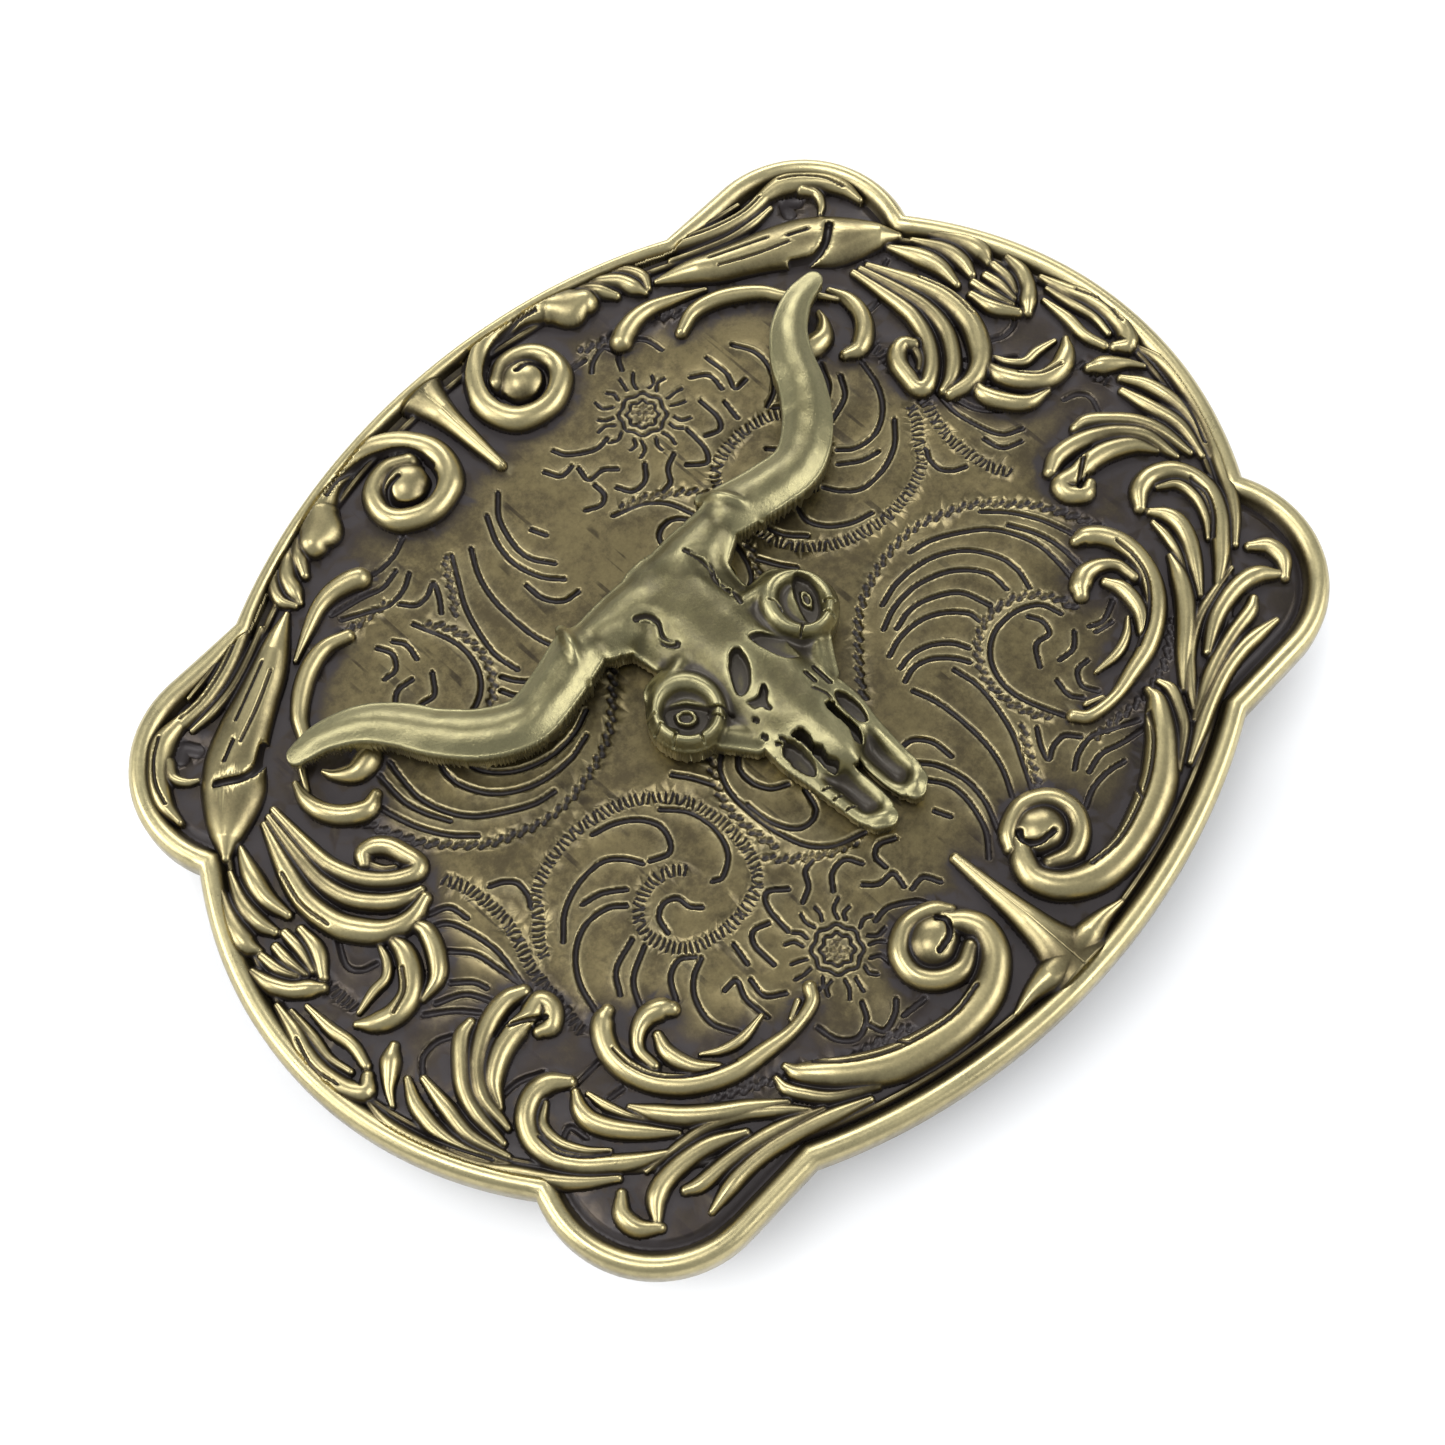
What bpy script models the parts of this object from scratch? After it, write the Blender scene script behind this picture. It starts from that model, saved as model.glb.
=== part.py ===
"""Western plate belt buckle: a cast oval plate with a scroll border, a longhorn skull screwed on from
behind, and on the back a swivelling belt loop in a riveted bracket and a hook stud on its own plate."""

import math

import bmesh
import bpy
from mathutils import Matrix, Vector

MM = 0.001

# Frame: +X to the viewer's right, +Y towards the horns, +Z out of the face. z = 0 is the lowest point of
# the back hardware, and x = y = 0 is the middle of the plate.

# plate
PLATE_HALF_WIDTH = 49.1
PLATE_HALF_HEIGHT = 39.5
LOBE_RADIUS = 10.1  # the four corner lobes
LOBE_X = 33.5
LOBE_Y = 23.4
OUTLINE_STEPS = (7, 12, 8)  # along the end oval, the lobe and the side oval of a quarter
PLATE_EDGE = 3.2  # back to rim top
FIELD_DEPTH = 1.1  # rim top to the flat field
RIM_FALL = FIELD_DEPTH - 0.1  # inner slope of the rim
BACK_DEPTH = 7.6  # how far the hardware stands behind the plate
PAN_DEPTH = 0.4  # the back is sunk this much inside its edge

BACK_Z = BACK_DEPTH
RIM_Z = BACK_Z + PLATE_EDGE
FIELD_Z = RIM_Z - FIELD_DEPTH
PAN_Z = BACK_Z + PAN_DEPTH

# fastening
GAP = 0.3  # clearance between neighbouring solids
SHANK_RADIUS = 0.9
HEAD_RADIUS = 2.0
HEAD_HEIGHT = 0.9
BLIND_DEPTH = 1.3  # how deep the bracket's rivets go into the plate
SKULL_SCREW_Y = (7.0, -5.0)

# belt loop and its bracket
STRAP_WIDTH = 38.0
WIRE_RADIUS = 1.5
LOOP_INNER = STRAP_WIDTH + 3.0
LOOP_REACH = 18.0  # pivot axis to the middle of the far bar
PIVOT_X = 22.0
PIVOT_DROP = 5.0  # pivot axis behind the plate's back
PIVOT_Z = BACK_Z - PIVOT_DROP
STRIP_THICKNESS = 1.2
STRIP_WIDTH = 9.0
EAR_THICKNESS = 1.4
EAR_RADIUS = PIVOT_Z
EAR_INNER_Y = LOOP_INNER / 2 + 2 * WIRE_RADIUS + 0.4

# hook stud
STUD_X = -33.0
STUD_PLATE_HALF = (6.5, 4.0)

# skull
HORN_ROOT = (9.6, 9.6)
COLLAR_RADIUS = 2.7
COLLAR_WIDTH = 1.2


def clear_scene():
    for obj in list(bpy.data.objects):
        bpy.data.objects.remove(obj)


def new_collection(name):
    collection = bpy.data.collections.new(name)
    bpy.context.scene.collection.children.link(collection)
    return collection


def metal(name, colour, roughness):
    made = bpy.data.materials.new(name)
    made.use_nodes = True
    shader = made.node_tree.nodes["Principled BSDF"]
    shader.inputs["Base Color"].default_value = (*colour, 1)
    shader.inputs["Roughness"].default_value = roughness
    shader.inputs["Metallic"].default_value = 1.0
    made.diffuse_color = (*colour, 1)
    return made


def object_from(bm, name, collection):
    """The bmesh, drawn in millimetres, as an object in metres."""
    bmesh.ops.scale(bm, vec=(MM, MM, MM), verts=bm.verts)
    bmesh.ops.recalc_face_normals(bm, faces=bm.faces)
    mesh = bpy.data.meshes.new(name)
    bm.to_mesh(mesh)
    bm.free()
    obj = bpy.data.objects.new(name, mesh)
    collection.objects.link(obj)
    return obj


def shade(obj, finish, angle=35):
    obj.data.materials.clear()
    obj.data.materials.append(finish)
    obj.data.shade_smooth()
    obj.data.set_sharp_from_angle(angle=math.radians(angle))


def oval_radius(angle):
    return 1 / math.hypot(math.cos(angle) / PLATE_HALF_WIDTH, math.sin(angle) / PLATE_HALF_HEIGHT)


def lobe_radius(angle):
    """Distance from the plate's middle to the far side of a corner lobe: an arc, then a level stretch."""
    c, s = math.cos(angle), math.sin(angle)
    top = LOBE_Y + LOBE_RADIUS
    if top * c / s <= LOBE_X:
        return top / s
    across = LOBE_X * s - LOBE_Y * c
    return LOBE_X * c + LOBE_Y * s + math.sqrt(max(LOBE_RADIUS**2 - across**2, 0))


def notch_angle(inside, outside):
    """Where the oval and a lobe meet, between angles where the oval is and isn't further out."""
    for _ in range(40):
        middle = (inside + outside) / 2
        if oval_radius(middle) > lobe_radius(middle):
            inside = middle
        else:
            outside = middle
    return middle


def outline():
    """The plate's edge: a quarter of it by angle, and the other three quarters turned over from that one."""
    end_notch = notch_angle(math.radians(20), math.radians(35))
    side_notch = notch_angle(math.radians(60), math.radians(42))
    stretches = ((0, end_notch, oval_radius), (end_notch, side_notch, lobe_radius),
                 (side_notch, math.pi / 2, oval_radius))
    quarter = []
    for (start, stop, radius), count in zip(stretches, OUTLINE_STEPS):
        angles = [start + (stop - start) * i / count for i in range(count)]
        quarter += [(radius(a) * math.cos(a), radius(a) * math.sin(a)) for a in angles]
    quarter.append((0, PLATE_HALF_HEIGHT))
    left = [(-x, y) for x, y in reversed(quarter[:-1])]
    upper = quarter + left
    return upper + [(x, -y) for x, y in reversed(upper[1:-1])]


def ring_face(bm, points, z):
    return bm.faces.new([bm.verts.new((x, y, z)) for x, y in points])


def step(bm, face, inward, outward):
    """The face drawn in by one step of a moulding, and moved along its own normal."""
    bmesh.ops.inset_region(bm, faces=[face], thickness=inward, depth=outward, use_even_offset=True)


def cylinder(name, centre, radius, z_low, z_high, collection, sides=24, axis="Z"):
    bm = bmesh.new()
    bmesh.ops.create_cone(bm, cap_ends=True, segments=sides, radius1=radius, radius2=radius,
                          depth=z_high - z_low)
    turn = Matrix.Rotation(math.pi / 2, 4, "X") if axis == "Y" else Matrix()
    place = Vector(centre) + (Vector((0, (z_low + z_high) / 2, 0)) if axis == "Y"
                              else Vector((0, 0, (z_low + z_high) / 2)))
    bmesh.ops.transform(bm, matrix=Matrix.Translation(place) @ turn, verts=bm.verts)
    return object_from(bm, name, collection)


def as_cutter(obj):
    obj.hide_render = True
    obj.display_type = "WIRE"
    return obj


def combine(obj, other, operation, solver="EXACT"):
    """A Boolean that is applied at once, with the other object kept as a cutter."""
    as_cutter(other)
    modifier = obj.modifiers.new(other.name, "BOOLEAN")
    modifier.operation = operation
    modifier.solver = solver
    modifier.object = other
    graph = bpy.context.evaluated_depsgraph_get()
    made = bpy.data.meshes.new_from_object(obj.evaluated_get(graph))
    obj.modifiers.clear()
    obj.data = made


def tube(name, points, collection, resolution=2, closed=False, smooth=4, squash=1.0):
    """A round bar through points (x, y, z, radius) in millimetres, as a welded mesh. squash flattens it."""
    data = bpy.data.curves.new(name, "CURVE")
    data.dimensions = "3D"
    data.bevel_depth = MM
    data.bevel_resolution = resolution
    data.resolution_u = smooth
    data.use_fill_caps = not closed
    spline = data.splines.new("NURBS" if smooth > 1 else "POLY")
    spline.points.add(len(points) - 1)
    for point, (x, y, z, radius) in zip(spline.points, points):
        point.co = (x * MM, y * MM, z * MM, 1)
        point.radius = radius
    spline.use_cyclic_u = closed
    if smooth > 1:
        spline.order_u = 3
        spline.use_endpoint_u = not closed
    curve = bpy.data.objects.new(name + "_curve", data)
    collection.objects.link(curve)
    graph = bpy.context.evaluated_depsgraph_get()
    mesh = bpy.data.meshes.new_from_object(curve.evaluated_get(graph))
    bpy.data.objects.remove(curve)
    bm = bmesh.new()
    bm.from_mesh(mesh)
    bmesh.ops.remove_doubles(bm, verts=bm.verts, dist=1e-6)
    if squash != 1.0:
        middle = points[0][2] * MM
        for vert in bm.verts:
            vert.co.z = middle + (vert.co.z - middle) * squash
    bmesh.ops.recalc_face_normals(bm, faces=bm.faces)
    made = bpy.data.meshes.new(name)
    bm.to_mesh(made)
    bm.free()
    obj = bpy.data.objects.new(name, made)
    collection.objects.link(obj)
    return obj


def mirrored(points):
    return [(-x, *rest) for x, *rest in points]


# Ridges of the border on the left half, as (x, y, half width) along each one. The right half mirrors them.
BORDER_RIDGES = {
    "top_volute": [(-21.5, 31.2, 0.7), (-19.5, 34, 1.4), (-15, 35.4, 1.7), (-9, 37.4, 1.2), (-3.6, 36.4, 1.2),
                   (-2.4, 32.4, 1.2), (-4.4, 29, 1.2), (-9, 29.2, 1.2), (-10, 33, 1.0), (-7, 34.4, 1.2)],
    "top_button": [(-8.0, 32.0, 1.2), (-6.9, 32.4, 1.7), (-5.8, 32.8, 1.2)],
    "top_curl": [(-16.4, 28.9, 1.1), (-19.5, 30.1, 0.9), (-24.5, 27.2, 0.6)],
    "dagger": [(-23, 30.3, 0.8), (-30, 26.4, 1.8), (-36, 21.9, 2.2), (-40.4, 18.8, 0.8)],
    "horn_curl": [(-20.6, 25.9, 0.8), (-26, 25.2, 1.0), (-30.8, 20.4, 0.9), (-32.4, 15.6, 1.1),
                  (-29, 14.0, 0.8)],
    "lobe_leaf": [(-24, 33.2, 0.9), (-30, 30.6, 1.2), (-36, 29.8, 1.6), (-41.4, 24.4, 0.8)],
    "lobe_edge": [(-33, 31.8, 0.7), (-40.5, 29.6, 0.8), (-43.2, 22, 0.6)],
    "acanthus_outer": [(-35.6, 19.6, 0.9), (-38.2, 13, 1.3), (-37.2, 6.8, 1.7), (-31.6, 3.8, 1.0)],
    "acanthus_inner": [(-35.4, 16, 0.8), (-35, 9.6, 1.2), (-31.6, 5.4, 1.4), (-30.6, 9, 1.0),
                       (-32.6, 10.6, 0.9)],
    "fingers": [(-39.6, 17.6, 0.8), (-43, 15.4, 1.5), (-44.2, 11, 1.2)],
    "finger_inner": [(-40, 16.6, 0.7), (-41, 13, 1.0), (-40.8, 11.4, 0.7)],
    "shell": [(-45.6, 9.4, 0.8), (-43.2, 8.2, 1.7), (-42.9, 5.4, 1.0)],
    "outer_wave": [(-45.6, 5.6, 0.9), (-46.8, 0.6, 1.2), (-46, -3.4, 1.0)],
    "crescent": [(-42.2, 0.5, 0.7), (-39.6, -1, 1.3), (-35, 0.4, 1.3), (-34.4, 3.6, 0.7)],
    "outer_blade": [(-46.7, -5.2, 0.8), (-46.6, -12, 1.1), (-41.6, -20, 1.1), (-34, -24.6, 0.8)],
    "inner_blade": [(-42.9, -6, 0.9), (-43.8, -11, 1.3), (-41.4, -16.4, 0.9)],
    "fan": [(-41, -17, 0.8), (-41, -10, 1.4), (-36, -7.4, 2.0), (-31.8, -9.6, 1.5)],
    "middle_curl": [(-35.2, -14.8, 0.9), (-39.4, -14.2, 1.2), (-38.8, -20, 1.2), (-33, -24.4, 0.8)],
    "middle_leaf": [(-35, -16.6, 0.9), (-34, -20.6, 1.2), (-29.6, -24.8, 0.9), (-24, -28.4, 0.6)],
    "inner_curl": [(-28.9, -13.4, 0.9), (-31.4, -16, 1.0), (-28, -23, 1.1), (-20.6, -24.6, 1.0),
                   (-15.6, -23.4, 0.8)],
    "branch": [(-25.1, -16.5, 1.2), (-28.8, -16.2, 0.9), (-28.8, -20.6, 0.7)],
    "lower_leaf": [(-38.6, -24.4, 0.9), (-38, -27.6, 1.1), (-31, -29.4, 1.3), (-22.6, -32.6, 1.0)],
    "lower_inner": [(-36.6, -25.8, 0.8), (-30.6, -26, 1.2), (-24.4, -30, 0.8)],
    "bottom_volute": [(-23.2, -27, 1.0), (-20.4, -30.6, 1.3), (-14, -34, 1.5), (-6, -34.8, 1.5),
                      (-2.8, -31.6, 1.3), (-4.4, -27.4, 1.2)],
    "bottom_button": [(-9.0, -27.6, 1.6), (-7.6, -27.8, 2.6), (-6.0, -28.2, 2.0)],
}
RIDGE_SPREAD = 1.15  # ridges are drawn a little wider than the lines they follow
RIDGE_HEIGHT = 0.62  # share of its half width that a ridge stands up


# The EXACT solver leaves the crossing scrolls, and the skull's crossing horns and rings, apart.
CROSSING = "MANIFOLD"


def make_plate(parts, cutters, finish):
    bm = bmesh.new()
    floor = ring_face(bm, outline(), BACK_Z)
    floor.normal_update()
    if floor.normal.z > 0:
        floor.normal_flip()
    made = bmesh.ops.extrude_face_region(bm, geom=[floor], use_keep_orig=True)
    top = next(g for g in made["geom"] if isinstance(g, bmesh.types.BMFace))
    bmesh.ops.translate(bm, vec=(0, 0, PLATE_EDGE - 0.6), verts=top.verts)
    bmesh.ops.recalc_face_normals(bm, faces=bm.faces)
    rim = ((0.2, 0.4), (0.4, 0.2), (0.4, -0.1), (0.4, -RIM_FALL))
    fillet = ((0.9, 0.0), (0.3, 0.35), (0.5, 0.0), (0.3, -0.35))
    for inward, outward in rim + fillet:
        step(bm, top, inward, outward)
    step(bm, floor, 2.5, 0.0)
    step(bm, floor, 0.4, -PAN_DEPTH)
    plate = object_from(bm, "face_plate", parts)

    for name, ridge in BORDER_RIDGES.items():
        for side, line in (("left", ridge), ("right", mirrored(ridge))):
            bars = [(x, y, FIELD_Z, r * RIDGE_SPREAD) for x, y, r in line]
            scroll = tube(f"{name}_{side}", bars, cutters, resolution=1, smooth=2, squash=RIDGE_HEIGHT)
            combine(plate, scroll, "UNION", CROSSING)
    for name, stem in (("top_stem", ((28.0, 0.9), (33, 1.3), (36.0, 1.9), (37.6, 2.6))),
                       ("bottom_stem", ((-24.5, 0.7), (-30, 0.9), (-34.4, 1.4), (-36.2, 2.6)))):
        bars = [(0, y, FIELD_Z, r) for y, r in stem]
        scroll = tube(name, bars, cutters, resolution=1, smooth=2, squash=RIDGE_HEIGHT)
        combine(plate, scroll, "UNION", CROSSING)

    for index, y in enumerate(SKULL_SCREW_Y):
        hole = cylinder(f"skull_hole_{index}", (0, y, 0), SHANK_RADIUS + GAP, BACK_Z - 1, RIM_Z + 2, cutters)
        combine(plate, hole, "DIFFERENCE", CROSSING)
    for index, (x, y) in enumerate(rivet_places() + stud_rivet_places() + [(STUD_X, 0)]):
        radius = SHANK_RADIUS + GAP
        hole = cylinder(f"blind_hole_{index}", (x, y, 0), radius, BACK_Z - 1, PAN_Z + BLIND_DEPTH,
                        cutters, 16)
        combine(plate, hole, "DIFFERENCE", CROSSING)
    shade(plate, finish)


def rivet_places():
    near_ear = EAR_INNER_Y - 5.0
    offset = STRIP_WIDTH / 2 - 2.3
    return [(PIVOT_X + dx, y) for y in (-near_ear, near_ear) for dx in (-offset, offset)]


def stud_rivet_places():
    return [(STUD_X - 4.4, 0), (STUD_X + 4.4, 0)]


def make_pin(name, x, y, shank_top, head_low, head_radius, parts, finish):
    """A rivet or screw as a turned profile: shank up into the plate, and a low domed head behind it."""
    head_top = head_low + HEAD_HEIGHT
    profile = [(0, shank_top), (SHANK_RADIUS, shank_top), (SHANK_RADIUS, head_top), (head_radius, head_top),
               (head_radius, head_low + 0.35), (head_radius * 0.75, head_low), (0, head_low)]
    bm = bmesh.new()
    verts = [bm.verts.new((r, 0, z - head_top)) for r, z in profile]
    for a, b in zip(verts, verts[1:]):
        bm.edges.new((a, b))
    bmesh.ops.scale(bm, vec=(MM, MM, MM), verts=bm.verts)
    mesh = bpy.data.meshes.new(name)
    bm.to_mesh(mesh)
    bm.free()
    pin = bpy.data.objects.new(name, mesh)
    parts.objects.link(pin)
    pin.location = (x * MM, y * MM, head_top * MM)
    screw = pin.modifiers.new("turn", "SCREW")
    screw.steps = screw.render_steps = 20
    screw.use_merge_vertices = True
    screw.merge_threshold = 1e-5
    mesh.materials.append(finish)


def make_washer(name, x, y, z_low, parts, finish):
    bm = bmesh.new()
    outer, inner, height = 2.6, SHANK_RADIUS + GAP, 0.5
    corners = [(outer, height), (outer, 0), (inner, 0), (inner, height)]
    verts = [bm.verts.new((r * MM, 0, z * MM)) for r, z in corners]
    for a, b in zip(verts, verts[1:] + verts[:1]):
        bm.edges.new((a, b))
    mesh = bpy.data.meshes.new(name)
    bm.to_mesh(mesh)
    bm.free()
    washer = bpy.data.objects.new(name, mesh)
    parts.objects.link(washer)
    washer.location = (x * MM, y * MM, z_low * MM)
    screw = washer.modifiers.new("turn", "SCREW")
    screw.steps = screw.render_steps = 24
    screw.use_merge_vertices = True
    screw.merge_threshold = 1e-5
    mesh.materials.append(finish)


# Sections of the head from the crown down to the nose: y, half width, crest height, and height of the
# widest line, all in millimetres, the heights above the rim.
HEAD_SECTIONS = [
    (11.2, 3.4, 2.4, 1.6), (10.2, 6.2, 3.2, 1.8), (8.2, 6.6, 3.7, 1.6), (5.6, 5.4, 3.9, 1.4),
    (2.6, 5.2, 3.9, 1.4), (-0.8, 6.2, 3.7, 1.2), (-3.2, 5.0, 3.6, 0.8), (-6.0, 4.5, 3.4, 0.6),
    (-9.0, 4.0, 3.2, 0.5), (-12.0, 2.6, 3.0, 0.6), (-13.4, 1.2, 2.6, 1.0),
]
HEAD_FLOOR = -0.4  # underside of the head, below the rim top
NECK = [(3.0, 9.4, 1.4, 2.0), (6.4, 9.4, 1.8, 1.8), (9.8, 9.3, 2.2, 1.9)]
HORN = [(8.6, 9.3, 2.0, 2.4), (12.5, 8.2, 1.9, 2.3), (17.5, 8.2, 1.8, 2.2), (21.4, 12.0, 1.8, 2.0),
        (24.4, 16.6, 1.7, 1.7), (27.4, 19.2, 1.5, 1.3), (31.2, 19.9, 1.3, 0.9)]


def head_section(bm, y, half_width, crest, side, count=12):
    """One closed section of the head: flat below, and a round arch from side to side above."""
    ring = [bm.verts.new((half_width * 0.8, y, RIM_Z + HEAD_FLOOR))]
    for i in range(count + 1):
        a = math.pi * i / count
        ring.append(bm.verts.new((half_width * math.cos(a), y, RIM_Z + side + (crest - side) * math.sin(a))))
    ring.append(bm.verts.new((-half_width * 0.8, y, RIM_Z + HEAD_FLOOR)))
    return ring


def make_skull(parts, cutters, finish):
    bm = bmesh.new()
    rings = [head_section(bm, *section) for section in HEAD_SECTIONS]
    for lower, upper in zip(rings, rings[1:]):
        count = len(lower)
        for i in range(count):
            bm.faces.new((lower[i], lower[(i + 1) % count], upper[(i + 1) % count], upper[i]))
    bm.faces.new(rings[0])
    bm.faces.new(rings[-1])
    skull = object_from(bm, "longhorn_skull", parts)
    for side in (-1, 1):
        name = "left" if side < 0 else "right"
        neck = [(side * x, y, RIM_Z + z, r) for x, y, z, r in NECK]
        combine(skull, tube(f"neck_{name}", neck, cutters, resolution=3, smooth=3), "UNION", CROSSING)
        horn = [(side * x, y, RIM_Z + z, r) for x, y, z, r in HORN]
        combine(skull, tube(f"horn_{name}", horn, cutters, resolution=3, smooth=4), "UNION", CROSSING)
        collar_turn = Matrix.Rotation(math.radians(90), 4, "Y") @ Matrix.Rotation(side * 0.3, 4, "X")
        bm = bmesh.new()
        bmesh.ops.create_cone(bm, cap_ends=True, segments=20, radius1=COLLAR_RADIUS,
                              radius2=COLLAR_RADIUS, depth=COLLAR_WIDTH)
        place = Matrix.Translation((side * HORN_ROOT[0], HORN_ROOT[1] - 0.4, RIM_Z + 2.1))
        bmesh.ops.transform(bm, matrix=place @ collar_turn, verts=bm.verts)
        combine(skull, object_from(bm, f"collar_{name}", cutters), "UNION", CROSSING)
        eye = [(side * 6.75 + 2.6 * math.cos(a), -0.9 + 2.6 * math.sin(a), RIM_Z + 2.6, 1.0)
               for a in (2 * math.pi * i / 12 for i in range(12))]
        ring = tube(f"eye_{name}", eye, cutters, resolution=2, smooth=2, closed=True)
        combine(skull, ring, "UNION", CROSSING)
        jaw = [(side * 3.1, -7.0, RIM_Z + 1.0, 1.2), (side * 2.9, -12, RIM_Z + 1.0, 1.0),
               (side * 2.2, -16.4, RIM_Z + 0.8, 0.9), (side * 1.4, -18.0, RIM_Z + 0.8, 0.9)]
        combine(skull, tube(f"jaw_{name}", jaw, cutters, resolution=2, smooth=3), "UNION", CROSSING)
    for index, y in enumerate(SKULL_SCREW_Y):
        post = cylinder(f"post_{index}", (0, y, 0), 2.2, FIELD_Z + GAP, RIM_Z + 1.5, cutters)
        combine(skull, post, "UNION", CROSSING)
        hole = cylinder(f"tapped_{index}", (0, y, 0), SHANK_RADIUS + GAP, FIELD_Z - 1, RIM_Z + 0.9,
                        cutters, 16)
        combine(skull, hole, "DIFFERENCE", CROSSING)
    shade(skull, finish)


def make_bracket(parts, cutters, finish):
    """A stamped strip that lies in the pan, bent down at both ends into ears around the loop's pivots."""
    strip_top = PAN_Z - GAP
    strip_low = strip_top - STRIP_THICKNESS
    reach = EAR_INNER_Y + EAR_THICKNESS
    bm = bmesh.new()
    bmesh.ops.create_cube(bm, size=1)
    bmesh.ops.scale(bm, vec=(STRIP_WIDTH, 2 * reach, STRIP_THICKNESS), verts=bm.verts)
    bmesh.ops.translate(bm, vec=(PIVOT_X, 0, (strip_top + strip_low) / 2), verts=bm.verts)
    corners = [e for e in bm.edges if abs(e.verts[0].co.z - e.verts[1].co.z) > 0.5]
    bmesh.ops.bevel(bm, geom=corners, offset=1.2, segments=3, affect="EDGES", profile=0.5)
    bracket = object_from(bm, "loop_bracket", parts)
    for side in (-1, 1):
        name = "left" if side < 0 else "right"
        low, high = sorted((side * EAR_INNER_Y, side * reach))
        centre = (PIVOT_X, 0, PIVOT_Z)
        round_end = cylinder(f"ear_round_{name}", centre, EAR_RADIUS, low, high, cutters, 28, "Y")
        combine(bracket, round_end, "UNION")
        bm = bmesh.new()
        bmesh.ops.create_cube(bm, size=1)
        bmesh.ops.scale(bm, vec=(2 * EAR_RADIUS, EAR_THICKNESS, strip_top - 0.4 - PIVOT_Z), verts=bm.verts)
        middle = (PIVOT_X, (low + high) / 2, (strip_top - 0.4 + PIVOT_Z) / 2)
        bmesh.ops.translate(bm, vec=middle, verts=bm.verts)
        combine(bracket, object_from(bm, f"ear_web_{name}", cutters), "UNION")
    pivots = cylinder("pivot_holes", (PIVOT_X, 0, PIVOT_Z), WIRE_RADIUS + GAP, -reach - 2, reach + 2, cutters,
                      24, "Y")
    combine(bracket, pivots, "DIFFERENCE")
    for index, (x, y) in enumerate(rivet_places()):
        hole = cylinder(f"strip_hole_{index}", (x, y, 0), SHANK_RADIUS + GAP, strip_low - 1, strip_top + 1,
                        cutters, 16)
        combine(bracket, hole, "DIFFERENCE")
    shade(bracket, finish)
    for index, (x, y) in enumerate(rivet_places()):
        make_pin(f"bracket_rivet_{index + 1}", x, y, PAN_Z + BLIND_DEPTH - GAP,
                 strip_low - GAP - HEAD_HEIGHT, HEAD_RADIUS, parts, finish)


def arc_points(centre, radius, start, end, count):
    angles = [math.radians(start + (end - start) * i / count) for i in range(count + 1)]
    return [(centre[0] + radius * math.cos(a), centre[1] + radius * math.sin(a)) for a in angles]


def make_loop(parts, finish):
    """Round wire: turned-out pivot ends, two arms and a far bar, with the origin on the pivot axis."""
    arm_y = LOOP_INNER / 2 + WIRE_RADIUS
    end_y = EAR_INNER_Y + EAR_THICKNESS + 0.8
    bend, corner = 2.0, 5.0
    half = [(0, end_y)]
    half += arc_points((bend, arm_y + bend), bend, 180, 270, 4)
    half += arc_points((LOOP_REACH - corner, arm_y - corner), corner, 90, 0, 6)
    line = half + [(x, -y) for x, y in reversed(half)]
    wire = tube("belt_loop", [(x, y, 0, WIRE_RADIUS) for x, y in line], parts, resolution=3, smooth=1)
    wire.location = (PIVOT_X * MM, 0, PIVOT_Z * MM)
    shade(wire, finish, 60)


def make_stud(parts, cutters, finish):
    """A small oval plate held by two rivets, and a hook peg that leans towards the loop."""
    plate_top = PAN_Z - GAP
    plate_low = plate_top - STRIP_THICKNESS
    bm = bmesh.new()
    bmesh.ops.create_cone(bm, cap_ends=True, segments=36, radius1=1, radius2=1, depth=STRIP_THICKNESS)
    bmesh.ops.scale(bm, vec=(STUD_PLATE_HALF[0], STUD_PLATE_HALF[1], 1), verts=bm.verts)
    bmesh.ops.translate(bm, vec=(STUD_X, 0, (plate_top + plate_low) / 2), verts=bm.verts)
    plate = object_from(bm, "stud_plate", parts)
    for index, (x, y) in enumerate(stud_rivet_places() + [(STUD_X, 0)]):
        hole = cylinder(f"stud_plate_hole_{index}", (x, y, 0), SHANK_RADIUS + GAP, plate_low - 1,
                        plate_top + 1, cutters, 16)
        combine(plate, hole, "DIFFERENCE")
    shade(plate, finish)
    for index, (x, y) in enumerate(stud_rivet_places()):
        make_pin(f"stud_rivet_{index + 1}", x, y, PAN_Z + BLIND_DEPTH - GAP, plate_low - GAP - HEAD_HEIGHT,
                 1.5, parts, finish)

    seat = plate_low - GAP
    peg = [(0, 0, seat, 2.3), (0, 0, seat - 0.7, 2.3), (0.1, 0, seat - 1.1, 1.7), (0.5, 0, seat - 2.8, 1.6),
           (1.2, 0, 2.6, 1.9), (1.6, 0, 1.5, 2.2), (1.7, 0, 0.7, 1.9), (1.75, 0, 0.2, 1.2), (1.75, 0, 0, 0.5)]
    line = [(STUD_X + x, y, z, r) for x, y, z, r in peg]
    stud = tube("hook_stud", line, parts, resolution=4, smooth=1)
    shank = cylinder("stud_shank", (STUD_X, 0, 0), SHANK_RADIUS, seat - 0.5, PAN_Z + BLIND_DEPTH - GAP,
                     cutters, 16)
    combine(stud, shank, "UNION")
    shade(stud, finish, 60)


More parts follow.
